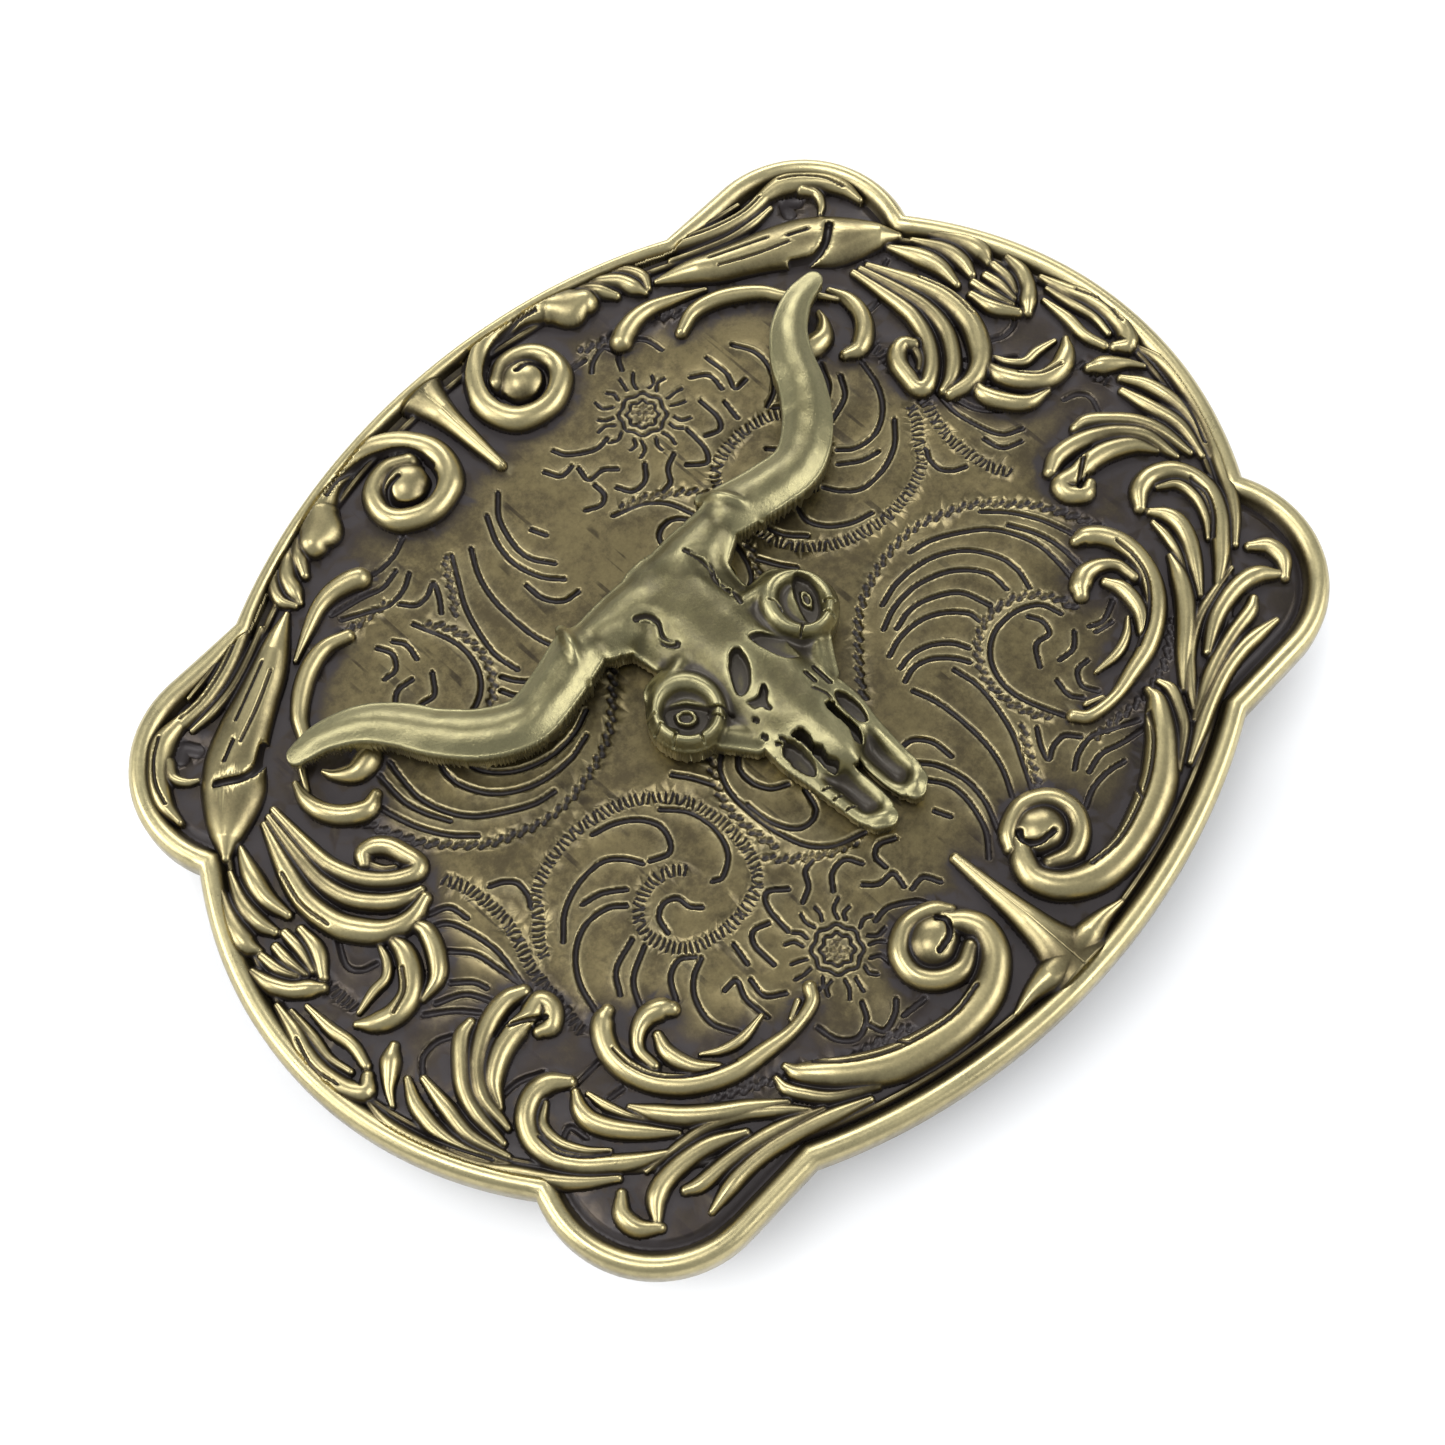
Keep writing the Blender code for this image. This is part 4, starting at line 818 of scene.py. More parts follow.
# The longhorn skull. Heights here are above the rim, and bars are (x, y, half width, top, base).
skullValues = {
    "step": 0.09,
    "mostFaces": 195000,
    "soften": 0.2,
    "blend": 0.38,
    "underside": -0.95,
    "roundedUnder": 0.75, "edgeRise": 0.45, "softenUnder": 0.3,  # the underside curls up at its edge
    "reach": (32.6, -20.2, 22.0), "headEnds": (11.75, -13.6), "outlineSoft": 0.35, "bulge": (2.3, 0.62),
    "flatBars": {"jawFloor": 0.22}, "bridgeRoundness": 0.3, "collarRoundness": 0.32,
    # eye rings: middle and radii, then half width and height, and how much both grow towards the forehead
    "eyes": [(-6.6, -0.9, 2.5, 2.65), (6.8, -0.85, 2.45, 2.65)], "eyeSteps": 24,
    "eyeRing": np.array([0.85, 3.5]), "eyeInward": np.array([0.75, 0.55]), "eyeFill": (0.3, 2.4, 2.7),
    "templeDip": 0.22, "islandSoft": 0.07, "unevenness": 0.02,
    "headWidths": [(11.7, 0.6), (11.3, 2.6), (10.6, 4.1), (9.6, 5.3), (8.4, 5.9), (7.0, 5.95), (5.2, 5.5),
                   (3.4, 5.3), (1.0, 5.1), (-1.5, 5.0), (-3.6, 4.8), (-5.0, 4.75), (-7.0, 4.4), (-9.0, 4.2),
                   (-10.6, 3.95), (-12.0, 3.3), (-12.9, 2.0), (-13.5, 0.4)],
    "headCrests": [(11.7, 1.6), (11.0, 2.5), (10.0, 3.1), (8.2, 3.7), (5.6, 3.95), (2.6, 3.95), (-0.8, 3.8),
                   (-3.6, 3.65), (-6.5, 3.45), (-9.0, 3.1), (-11.5, 2.7), (-13.5, 2.3)],
    "headSides": [(11.7, 0.9), (8.0, 0.7), (3.0, 0.3), (-4.0, 0.0), (-9.0, -0.2), (-13.5, 0.2)],
}

# Right-hand bars, copied to the left. The horns come first.
horn = [(9, 9.3, 2.3, 4.2, 1.9), (12.6, 8.4, 2.25, 4.15, 1.9), (16.2, 8.1, 2.2, 4.05, 1.85),
        (19.4, 9.9, 2.2, 3.95, 1.75), (21.9, 12.8, 2.05, 3.8, 1.75), (23.4, 15.4, 1.9, 3.6, 1.7),
        (25.4, 17.7, 1.65, 3.3, 1.65), (28.1, 19.3, 1.3, 2.8, 1.5), (30.2, 19.8, 1, 2.3, 1.3),
        (30.9, 19.9, 0.85, 2.1, 1.2)]
skullBars = {
    "neck": [(2.2, 8.3, 3.2, 3.85, 0.8), (4.4, 8.7, 2.9, 3.75, 0.8), (6.4, 9.1, 2.35, 3.6, 1),
        (8, 9.35, 1.95, 3.5, 1.3), (9.4, 9.4, 1.95, 3.6, 1.5)],
    "brow": [(4, 2.4, 1.3, 3.4, 0.4), (5.4, 2, 1.4, 3.6, 0.3), (6.9, 1.9, 1.4, 3.8, 0.2)],
    "cheek": [(6.2, -3.4, 1.2, 2.4, 0), (5.1, -4.6, 1.3, 2.3, -0.1), (4.1, -6.4, 1.1, 2.1, -0.2)],
    "jaw": [(3.4, -6.5, 0.85, 2.6, -0.2), (3.7, -9.6, 0.75, 2.2, -0.2), (3.35, -12.2, 0.7, 1.7, -0.3),
        (3.15, -15, 0.62, 1.5, -0.3), (3, -17, 0.6, 1.45, -0.3), (2.4, -18.2, 0.75, 1.6, -0.3)],
    "jawTip": [(2.35, -18, 0.95, 1.95, -0.2), (1.7, -18.45, 0.95, 2, -0.2)],
    "jawInner": [(1.1, -12.2, 0.5, 1.6, -0.3), (0.75, -14.4, 0.42, 1.45, -0.3),
        (0.72, -16.4, 0.42, 1.4, -0.3), (1, -17.9, 0.55, 1.5, -0.3)],
    "jawFloor": [(2, -12, 1.5, -0.05, -0.5), (1.95, -15, 1.35, -0.15, -0.5), (1.8, -17.6, 1.1, -0.1, -0.5)],
}
collar = [(8.35, 12, 0.5, 2.4, 1.2), (8.75, 10.9, 0.68, 4.2, 1.2), (9.3, 9.6, 0.78, 4.85, 1.2),
        (9.9, 8.3, 0.72, 4.3, 1.2), (10.35, 6.95, 0.55, 2.3, 1.2)]
noseBridge = [(0, -4.5, 2.9, 3.6, 2.2), (0, -7, 2.3, 3.5, 2), (0, -9.2, 1.45, 3.25, 1.4),
        (0, -11.4, 1.35, 3, 1.2), (0, -12.9, 0.8, 2.7, 1.2)]

# Hollows, as a loop of points, a depth floor, and how soft the edge is
skullHollows = [
    ("almondLeft", 2.7, 0.1, [(-1.66, -1), (-0.69, -0.2), (0, -0.3), (-0.27, -1.6), (-1.1, -2.7),
        (-2.1, -3.3), (-2.75, -3), (-2.35, -2)]),
    ("almondRight", 2.5, 0.1, [(1.53, -0.2), (2.37, -0.47), (3.4, -1.86), (3.9, -3.4), (3.6, -4.1),
        (2.64, -3.8), (1.95, -2.6), (1.53, -1)]),
    ("butterfly", 2.7, 0.07, [(-2.75, -3.9), (-1.8, -4.3), (-0.85, -3.9), (-0.95, -4.5), (-1.65, -5.1),
        (-1.8, -5.85), (-2.1, -5.6), (-2.2, -5.05), (-2.7, -4.7)]),
    ("eyeLeft", 2, 0.1, [(-8.2, 0.2), (-7.7, 0.55), (-7, 0.3), (-6.2, -0.35), (-5.55, -1.3), (-5.2, -2.1),
        (-5.7, -2.5), (-6.5, -2.8), (-7.6, -2.65), (-8.4, -1.9), (-8.15, -1.2), (-8.5, -0.5)]),
    ("eyeRight", 2, 0.1, [(8.4, 1), (7.8, 0.7), (7, -0.3), (6.4, -1.5), (6.2, -2.5), (6.7, -2.9),
        (7.5, -2.5), (8.4, -1.4), (8.75, 0)]),
    ("nostrilLeft", 1, 0.1, [(-3.75, -9), (-3, -8.4), (-2.5, -9), (-2.45, -10.4), (-2.7, -11.5),
        (-3.25, -11.9), (-3.75, -10.8)]),
    ("nostrilRight", 1, 0.1, [(3.75, -9), (3.2, -8.4), (2.7, -9.2), (2.65, -10.6), (2.9, -11.5),
        (3.35, -11.7), (3.8, -10.6)]),
    ("gapLeft", 0.4, 0.06, [(-2.2, -8.4), (-1.45, -8.6), (-1.3, -9.4), (-1.55, -10.2), (-1.25, -10.9),
        (-1.45, -11.7), (-1.1, -12.5), (-1.75, -12.9), (-2.15, -11.6), (-2, -10)]),
    ("gapRight", 0.4, 0.06, [(2.2, -8.6), (1.6, -8.7), (1.5, -9.8), (1.6, -11.2), (1.15, -12.4),
        (1.7, -12.7), (2.2, -11.6), (2.1, -10)]),
    ("templeLeft", 2.9, 0.35, [(-4.2, 8), (-3, 7.8), (-2.2, 6.6), (-2.5, 4.6), (-3.2, 3.6), (-4, 4.6),
        (-3.9, 6.4)]),
    ("templeRight", 3, 0.35, [(3.2, 9), (4.2, 8.6), (4.6, 6.6), (4.3, 4.6), (3.9, 2.9), (3.2, 4.2),
        (2.8, 6.6)]),
]

# Raised and cut lines on the face: half width, rise (below 0 for a cut), points
skullLines = [
    (0.3, -0.45, [(-3.75, 7.7), (-3, 7.2), (-2.75, 6.3), (-3.3, 5.3), (-3.4, 4.5), (-3, 3.7)]),
    (0.16, 0.42, [(-3.6, 7.4), (-3.1, 7), (-2.95, 6.2), (-3.45, 5.3), (-3.35, 4.5), (-3.05, 4)]),
    (0.24, -0.4, [(3.5, 9.1), (3.8, 8), (4, 6.6), (3.5, 5.7), (3.5, 4.4), (3.7, 3.6), (3.4, 2.6)]),
    (0.14, 0.35, [(3.7, 8.6), (4.05, 7.4), (3.95, 6.4)]),
    (0.13, 0.35, [(3.75, 5.4), (3.4, 4.8), (3.8, 4.2), (3.45, 3.6)]),
    (0.22, -0.35, [(-6.6, 6.6), (-5.9, 5.3), (-6.1, 3.7)]),
    (0.22, -0.3, [(6.4, 6.3), (5.9, 5), (6, 3.6)]),
    (0.2, -0.5, [(-3.25, -5.3), (-3.2, -5.5)]),
    (0.22, -0.5, [(-3.75, -6.7), (-3.7, -7)]),
    (0.2, -0.5, [(-3.45, -8), (-3.3, -8.2)]),
    (0.17, -0.5, [(-2.95, -7.9), (-2.8, -8.3)]),
    (0.22, -0.5, [(2.5, -5.6), (2.5, -6.6)]),
    (0.26, -0.5, [(3.5, -5.6), (3.45, -7.4)]),
    (0.15, -0.35, [(1.9, -7), (2.4, -8), (2.3, -8.9)]),
    (0.13, -0.5, [(-8.6, 0.8), (-9.3, 1)]),
    (0.13, -0.5, [(-8.9, -0.2), (-9.7, -0.3)]),
    (0.13, -0.5, [(-8.6, -1.6), (-9.4, -2.1)]),
    (0.12, -0.5, [(-7.2, -2.9), (-7.6, -3.7)]),
    (0.14, -0.6, [(-5.2, -2.1), (-4.4, -2.9), (-4.1, -3.7)]),
    (0.12, -0.5, [(-5.6, -2.5), (-5, -3.4)]),
    (0.13, -0.5, [(5.5, -2.5), (4.7, -3)]),
    (0.12, -0.45, [(8.3, -2.3), (8.9, -2.9)]),
    (0.12, -0.45, [(7.6, -3), (7.9, -3.7)]),
    (0.1, -0.3, [(4.9, 0.9), (5.3, 0.1), (5, -0.6)]),
    (0.13, -0.4, [(-3.6, -13.2), (-2.9, -13.4)]),
    (0.13, -0.4, [(-3.6, -14.4), (-2.8, -14.5)]),
    (0.13, -0.4, [(-3.5, -15.7), (-2.7, -15.9)]),
]
eyeIslands = [
    (0.75, [(-7.5, -0.3), (-6.7, -0.5), (-6.2, -1.2), (-6.5, -2), (-7.3, -1.9), (-7.8, -1.1)]),
    (0.55, [(7.7, -0.1), (8.1, -0.6), (7.8, -1.4), (7.2, -1.9), (7.1, -1)]),
]


def mirrorLeft(points):
    return [(-x, *rest) for x, *rest in points]


def addBar(height, inside, under, sheet, points, round=0.5):
    line = smoothLine(points)
    where, far, (width, top, base) = nearLine(sheet, line, line[:, 2].max() + 0.6)
    share = np.clip(1 - (far / np.maximum(width, 1e-3))**2, 0, 1)
    new = np.where(far < width, base + (top - base) * share**round, base - 2.5 * (far - width))
    deeper = (width - far) > inside[where]
    under[where] = np.where(deeper & (far < width), np.maximum(base - 0.75 * width, skullValues["underside"]),
                            under[where])
    height[where] = np.maximum(height[where], new)
    inside[where] = np.maximum(inside[where], width - far)


def buildSkull(material):
    v = skullValues
    step, (crown, chin) = v["step"], v["headEnds"]
    sheet = makeSheet(*v["reach"], step)
    xs, ys = sheet["xs"][None, :], sheet["ys"][:, None]
    height = np.full(sheet["shape"], -4.0)
    inside = np.full(sheet["shape"], -3.0)
    under = np.full(sheet["shape"], v["underside"])
    for points in (horn, mirrorLeft(horn)):
        addBar(height, inside, under, sheet, points)
    widths, crests, sides = (np.array(sorted(v[k])) for k in ("headWidths", "headCrests", "headSides"))
    halfWidth = np.interp(ys, widths[:, 0], widths[:, 1], left=0, right=0)
    halfWidth = blur(np.broadcast_to(halfWidth, sheet["shape"]).copy(), v["outlineSoft"], step)
    crest = np.interp(ys, crests[:, 0], crests[:, 1])
    side = np.interp(ys, sides[:, 0], sides[:, 1])
    across = np.abs(xs) / np.maximum(halfWidth, 0.05)
    bulge = np.clip(1 - across**v["bulge"][0], 0, 1)**v["bulge"][1]
    within = (across < 1) & (ys < crown) & (ys > chin)
    head = np.where(within, side + (crest - side) * bulge, -4.0)
    slope = np.minimum((1 - across) * halfWidth, np.minimum(crown - ys, ys - chin) + 0 * xs)
    deeper = slope > inside
    under = np.where(deeper & within, v["underside"], under)
    inside = np.maximum(inside, slope)
    height = np.maximum(height, head)
    for name, points in skullBars.items():
        roundness = v["flatBars"].get(name, 0.5)
        for bar in (points, mirrorLeft(points)):
            addBar(height, inside, under, sheet, bar, roundness)
    addBar(height, inside, under, sheet, noseBridge, v["bridgeRoundness"])
    height = blurWithin(height, inside, v["blend"], step)
    for side, (cx, cy, rx, ry) in zip((-1, 1), v["eyes"]):
        ring = []
        for k in range(v["eyeSteps"] + 1):
            a = 2 * math.pi * k / v["eyeSteps"]
            inward = max(0.0, -side * math.cos(a) * 0.6 + 0.5 * math.sin(a))
            half, top = v["eyeRing"] + v["eyeInward"] * inward
            ring.append((cx + rx * math.cos(a), cy + ry * math.sin(a), half, top, 0.0))
        addBar(height, inside, under, sheet, ring)
        reach, half, fill = v["eyeFill"]
        middle = [(cx - reach, cy, half, fill, 0), (cx + reach, cy, half, fill, 0)]
        addBar(height, inside, under, sheet, middle, 0.2)
    for points in (collar, mirrorLeft(collar)):
        addBar(height, inside, under, sheet, points, v["collarRoundness"])
    height = blurWithin(height, inside, v["soften"], step)
    for name, floor, soft, loop in skullHollows:
        line = smoothLine(loop + loop[:1])[:, :2]
        hollow = np.clip(blur(insideOf(sheet, line).astype(float), soft, step) * 1.15, 0, 1)
        if name.startswith("temple"):
            height = height - v["templeDip"] * hollow
            continue
        height = np.where(height > floor, height * (1 - hollow) + floor * hollow, height)
    for rise, loop in eyeIslands:
        line = smoothLine(loop + loop[:1])[:, :2]
        inner = line * 0.6 + 0.4 * line.mean(axis=0)
        raised, middle = (blur(insideOf(sheet, shape).astype(float), v["islandSoft"], step)
                          for shape in (line, inner))
        height = height + rise * (raised - 0.7 * middle)
    for half, rise, points in skullLines:
        change = np.zeros(sheet["shape"])
        addGroove(change, sheet, points, half, abs(rise))
        height = height + np.sign(rise) * change
    grain = blur(np.random.default_rng(5).normal(size=sheet["shape"]), 0.5, step)
    height = height + v["unevenness"] * grain / grain.std()
    height = np.where(inside > 0, height, 0.3)
    values = {
        "fine": np.where(inside > 0.1, height - blur(height, 0.3, step), 0.05),
        "wide": np.where(inside > 0.1, height - blur(height, 1.0, step), 0.3),
    }
    under = blurWithin(under, inside, v["softenUnder"], step)
    edgeShare = (1 - np.clip(inside / v["roundedUnder"], 0, 1))**2
    belly = under + v["edgeRise"] * np.maximum(height - under, 0) * edgeShare
    piece = reliefMesh("longhornSkull", sheet, height + rimZ, inside - 0.02, belly + rimZ, v["mostFaces"])
    storeValues(piece, sheet, **values)
    finishPiece(piece, "plate", "cast_skull", material, "longhorn_skull")


# Back hardware. The loop's pivots, the rivets and the screws keep the places they have in the part.
backValues = {
    "pivot": (22.0, 2.6), "wire": 1.5, "armY": 22.0, "wireEnd": 26.1, "reach": 18.0, "corner": 5.0,
    "bend": 2.0,
    "strip": (9.0, 50.6, 1.5), "earInner": 23.9, "earThick": 1.4, "earHole": 1.75,
    "bracketRivets": [(19.8, -18.9), (24.2, -18.9), (19.8, 18.9), (24.2, 18.9)],
    "studAt": -33.0, "studPlate": (6.5, 4.0, 1.5), "studRivets": [(-37.4, 0), (-28.6, 0)],
    # radius and height above the seat, outwards from the plate's back
    "rivet": [(2.0, 0.0), (2.0, 0.28), (1.86, 0.55), (1.5, 0.8), (1.0, 0.94), (0.45, 1.0)],
    "smallRivet": [(1.5, 0.0), (1.5, 0.25), (1.36, 0.5), (1.05, 0.74), (0.65, 0.87), (0.3, 0.9)],
    "washer": [(2.5, 0.0), (2.6, 0.1), (2.6, 0.5), (2.5, 0.6), (1.6, 0.6)],
    "screw": [(2.0, 0.0), (2.0, 0.6), (1.88, 0.9), (1.6, 1.1), (0.9, 1.18)],
    "screwPlaces": [("Upper", 7.0), ("Lower", -5.0)], "slot": (0.5, 4.4, 0.45),
    # sideways lean, height above the floor, radius
    "peg": [
        (0, 6.5, 2.5), (0, 6.2, 2.45), (0, 5.85, 2.2), (0.05, 5.5, 1.85), (0.2, 4.9, 1.66), (0.45, 4.1, 1.58),
        (0.8, 3.4, 1.62), (1.15, 2.7, 1.8), (1.4, 2.1, 2.05), (1.58, 1.55, 2.2), (1.66, 1.1, 2.15),
        (1.7, 0.7, 1.9), (1.74, 0.35, 1.45), (1.75, 0.12, 0.85), (1.75, 0.03, 0.35),
    ],
    "ejectors": [(-14.0, 24.0), (14.0, 24.0), (-14.0, -24.0), (14.0, -24.0), (-42.0, 0.0), (38.0, 12.0),
                 (38.0, -12.0)],
    "ejector": [(2.45, 0.05), (2.4, 0.12), (2.1, 0.12), (2.05, 0.03)],
    "ejectorRoot": (0.3, 2.5),
}
stripLow = panZ - backValues["strip"][2]


def turned(name, profile, x, y, sides=40):
    # A turned shape from (lean, height, radius) rings, extruded one after the other from the first
    lean, z, radius = profile[0]
    clearSelection()
    bpy.ops.mesh.primitive_circle_add(vertices=sides, radius=radius * mm, fill_type="NGON",
                                      location=((x + lean) * mm, y * mm, z * mm))
    obj = bpy.context.active_object
    obj.name = obj.data.name = name
    bpy.ops.object.mode_set(mode="EDIT")
    bpy.ops.mesh.select_all(action="SELECT")
    for nextLean, nextZ, nextRadius in profile[1:]:
        bpy.ops.mesh.extrude_region_move(
            TRANSFORM_OT_translate={"value": ((nextLean - lean) * mm, 0, (nextZ - z) * mm)})
        share = nextRadius / radius
        bpy.ops.transform.resize(value=(share, share, 1),
                                 center_override=((x + nextLean) * mm, y * mm, nextZ * mm))
        lean, z, radius = nextLean, nextZ, nextRadius
    bpy.ops.mesh.select_all(action="SELECT")
    bpy.ops.mesh.normals_make_consistent(inside=False)
    bpy.ops.object.mode_set(mode="OBJECT")
    applyPlace(obj)
    bpy.ops.object.shade_smooth_by_angle(angle=math.radians(38))
    return obj


def headed(name, profile, x, y, seat, material, *nodes, slot="fasteners", root=None):
    # A turned shape that stands out of the back, rooted a little inside what it sits on
    rootDepth, rootRadius = root or (0.25, profile[0][0])
    rings = [(0, seat + rootDepth, rootRadius)] + [(0, seat - rise, radius) for radius, rise in profile]
    obj = turned(name, rings, x, y)
    finishPiece(obj, "plate", slot, material, *nodes)
    return obj


def block(name, size, place):
    clearSelection()
    bpy.ops.mesh.primitive_cube_add(size=1, location=[c * mm for c in place])
    obj = bpy.context.active_object
    obj.name = obj.data.name = name
    obj.scale = [s * mm for s in size]
    applyPlace(obj)
    return obj


def rod(name, radius, length, place, turn=(math.pi / 2, 0, 0), sides=48):
    clearSelection()
    bpy.ops.mesh.primitive_cylinder_add(vertices=sides, radius=radius * mm, depth=length * mm,
                                        location=[c * mm for c in place], rotation=turn)
    obj = bpy.context.active_object
    obj.name = obj.data.name = name
    applyPlace(obj)
    return obj


def joinOrCut(obj, others, operation):
    for other in others:
        cut = obj.modifiers.new("shape", "BOOLEAN")
        cut.operation, cut.object, cut.solver = operation, other, "EXACT"
        applyModifiers(obj)
        bpy.data.objects.remove(other, do_unlink=True)


def softenEdges(obj, width, segments=3, angle=30):
    bevel = obj.modifiers.new("softEdge", "BEVEL")
    bevel.width, bevel.segments, bevel.limit_method = width * mm, segments, "ANGLE"
    bevel.angle_limit = math.radians(angle)
    applyModifiers(obj)
    pick(obj)
    bpy.ops.object.shade_smooth_by_angle(angle=math.radians(40))


def buildBracket(material):
    v = backValues
    x, z = v["pivot"]
    wide, long, thick = v["strip"]
    bracket = block("loopBracket", (wide, long, thick), (x, 0, panZ - thick / 2))
    pick(bracket)
    bpy.context.tool_settings.mesh_select_mode = (False, True, False)
    bpy.ops.object.mode_set(mode="EDIT")
    bpy.ops.mesh.select_all(action="DESELECT")
    bpy.ops.object.mode_set(mode="OBJECT")
    for side in bracket.data.edges:
        low, high = (bracket.data.vertices[k].co for k in side.vertices)
        side.select = abs(low.z - high.z) > 0.5 * mm
    bpy.ops.object.mode_set(mode="EDIT")
    bpy.ops.mesh.bevel(offset=1.2 * mm, segments=6, affect="EDGES")
    bpy.ops.object.mode_set(mode="OBJECT")
    bpy.context.tool_settings.mesh_select_mode = (True, False, False)
    ears = []
    for side in (-1, 1):
        y = side * (v["earInner"] + v["earThick"] / 2)
        ears.append(rod("ear", z, v["earThick"], (x, y, z)))
        ears.append(block("earWeb", (2 * z, v["earThick"], panZ - 0.5 - z), (x, y, (panZ - 0.5 + z) / 2)))
    joinOrCut(bracket, ears, "UNION")
    joinOrCut(bracket, [rod("pivotHole", v["earHole"], 60, (x, 0, z))], "DIFFERENCE")
    softenEdges(bracket, 0.16)
    finishPiece(bracket, "plate", "back_hardware", material, "loop_bracket")
    for k, (rx, ry) in enumerate(v["bracketRivets"]):
        headed(f"bracketRivet{k + 1}", v["rivet"], rx, ry, stripLow, material, f"bracket_rivet_{k + 1}")


def buildLoop(material):
    # Round wire along the loop's middle line, with rounded ends
    v = backValues
    x, z = v["pivot"]
    half = [(0, v["wireEnd"])]
    turns = ((v["bend"], v["armY"] + v["bend"], v["bend"], 180, 270),
             (v["reach"] - v["corner"], v["armY"] - v["corner"], v["corner"], 90, 0))
    for cx, cy, radius, start, end in turns:
        for k in range(13):
            a = math.radians(start + (end - start) * k / 12)
            half.append((cx + radius * math.cos(a), cy + radius * math.sin(a)))
    line = half + [(px, -py) for px, py in reversed(half)]
    clearSelection()
    bpy.ops.curve.primitive_nurbs_path_add(location=(0, 0, 0))
    wire = bpy.context.active_object
    wire.name = wire.data.name = "beltLoop"
    wire.data.splines.clear()
    spline = wire.data.splines.new("POLY")
    spline.points.add(len(line) - 1)
    for point, (px, py) in zip(spline.points, line):
        point.co = ((x + px) * mm, py * mm, z * mm, 1)
    wire.data.dimensions = "3D"
    wire.data.bevel_depth, wire.data.bevel_resolution, wire.data.use_fill_caps = v["wire"] * mm, 8, True
    pick(wire)
    bpy.ops.object.convert(target="MESH")
    wire = bpy.context.active_object
    wire.data.name = "beltLoop"
    bpy.ops.object.mode_set(mode="EDIT")
    bpy.ops.mesh.select_all(action="SELECT")
    bpy.ops.mesh.remove_doubles(threshold=0.0005 * mm)
    bpy.ops.mesh.normals_make_consistent(inside=False)
    bpy.ops.object.mode_set(mode="OBJECT")
    softenEdges(wire, 0.35, 3, 60)
    finishPiece(wire, "loop", "wire", material, "belt_loop")


def buildStud(material):
    v = backValues
    wide, high, thick = v["studPlate"]
    plate = rod("studPlate", 1, thick, (0, 0, panZ - thick / 2), (0, 0, 0), 72)
    plate.scale = (wide, high, 1)
    plate.location = (v["studAt"] * mm, 0, 0)
    applyPlace(plate)
    softenEdges(plate, 0.25)
    finishPiece(plate, "plate", "back_hardware", material, "stud_plate")
    for k, (x, y) in enumerate(v["studRivets"]):
        headed(f"studRivet{k + 1}", v["smallRivet"], x, y, stripLow, material, f"stud_rivet_{k + 1}")
    peg = turned("hookStud", v["peg"], v["studAt"], 0, 48)
    finishPiece(peg, "plate", "wire", material, "hook_stud")


def buildBack(material):
    v = backValues
    buildBracket(material)
    buildLoop(material)
    buildStud(material)
    for k, (label, y) in enumerate(v["screwPlaces"]):
        headed(f"skullWasher{label}", v["washer"], 0, y, panZ, material, f"skull_washer_{label.lower()}")
        seat = panZ - v["washer"][-1][1]
        screw = headed(f"skullScrew{label}", v["screw"], 0, y, seat, material, f"skull_screw_{label.lower()}")
        width, long, deep = v["slot"]
        slot = block("slot", (width, long, deep * 2), (0, y, seat - v["screw"][-1][1]))
        slot.rotation_euler[2] = 0.6 + 1.3 * k
        place = Vector((0, y * mm, 0))
        slot.location = place - Matrix.Rotation(slot.rotation_euler[2], 3, "Z") @ place
        applyPlace(slot)
        joinOrCut(screw, [slot], "DIFFERENCE")
        pick(screw)
        bpy.ops.object.shade_smooth_by_angle(angle=math.radians(38))
    for k, (x, y) in enumerate(v["ejectors"]):
        headed(f"ejectorMark{k + 1}", v["ejector"], x, y, panZ, material, slot="cast_plate",
               root=v["ejectorRoot"])


# Finishes. Colours are given as they look, and turned into light values.
def srgb(r, g, b):
    return tuple(((c / 255 + 0.055) / 1.055)**2.4 if c > 10 else c / 255 / 12.92 for c in (r, g, b)) + (1.0,)


def addNode(tree, kind, settings=None, **links):
    # A node with its settings, and its inputs set to a value or joined to another node's output.
    made = tree.nodes.new(kind)
    for key, value in (settings or {}).items():
        setattr(made, key, value)
    for key, value in links.items():
        byNumber = key[0] == "i" and key[1:].isdigit()
        socket = made.inputs[int(key[1:]) if byNumber else key.replace("_", " ")]
        if isinstance(value, bpy.types.NodeSocket):
            tree.links.new(value, socket)
        else:
            socket.default_value = value
    return made


def maths(tree, operation, a, b=0.0, clamp=False):
    made = addNode(tree, "ShaderNodeMath", {"operation": operation, "use_clamp": clamp}, i0=a, i1=b)
    return made.outputs[0]


def mixColour(tree, share, a, b, blend="MIX"):
    made = addNode(tree, "ShaderNodeMix", {"data_type": "RGBA", "blend_type": blend}, i0=share, i6=a, i7=b)
    return made.outputs[2]


def spread(tree, value, low, high):
    # 0 below low and 1 above high, with a soft step between
    smooth = {"interpolation_type": "SMOOTHSTEP"}
    return addNode(tree, "ShaderNodeMapRange", smooth, Value=value, From_Min=low, From_Max=high).outputs[0]


def noise(tree, place, scale, detail=1.0, roughness=0.5):
    made = addNode(tree, "ShaderNodeTexNoise", Vector=place, Scale=float(scale), Detail=float(detail),
                   Roughness=roughness)
    return made.outputs[0]


def newGroup(name, inputs, outputs):
    group = bpy.data.node_groups.new(name, "ShaderNodeTree")
    for label, kind, value in inputs:
        socket = group.interface.new_socket(label, in_out="INPUT", socket_type=kind)
        socket.default_value = value
    for label, kind in outputs:
        group.interface.new_socket(label, in_out="OUTPUT", socket_type=kind)
    return group, group.nodes.new("NodeGroupInput").outputs, group.nodes.new("NodeGroupOutput").inputs


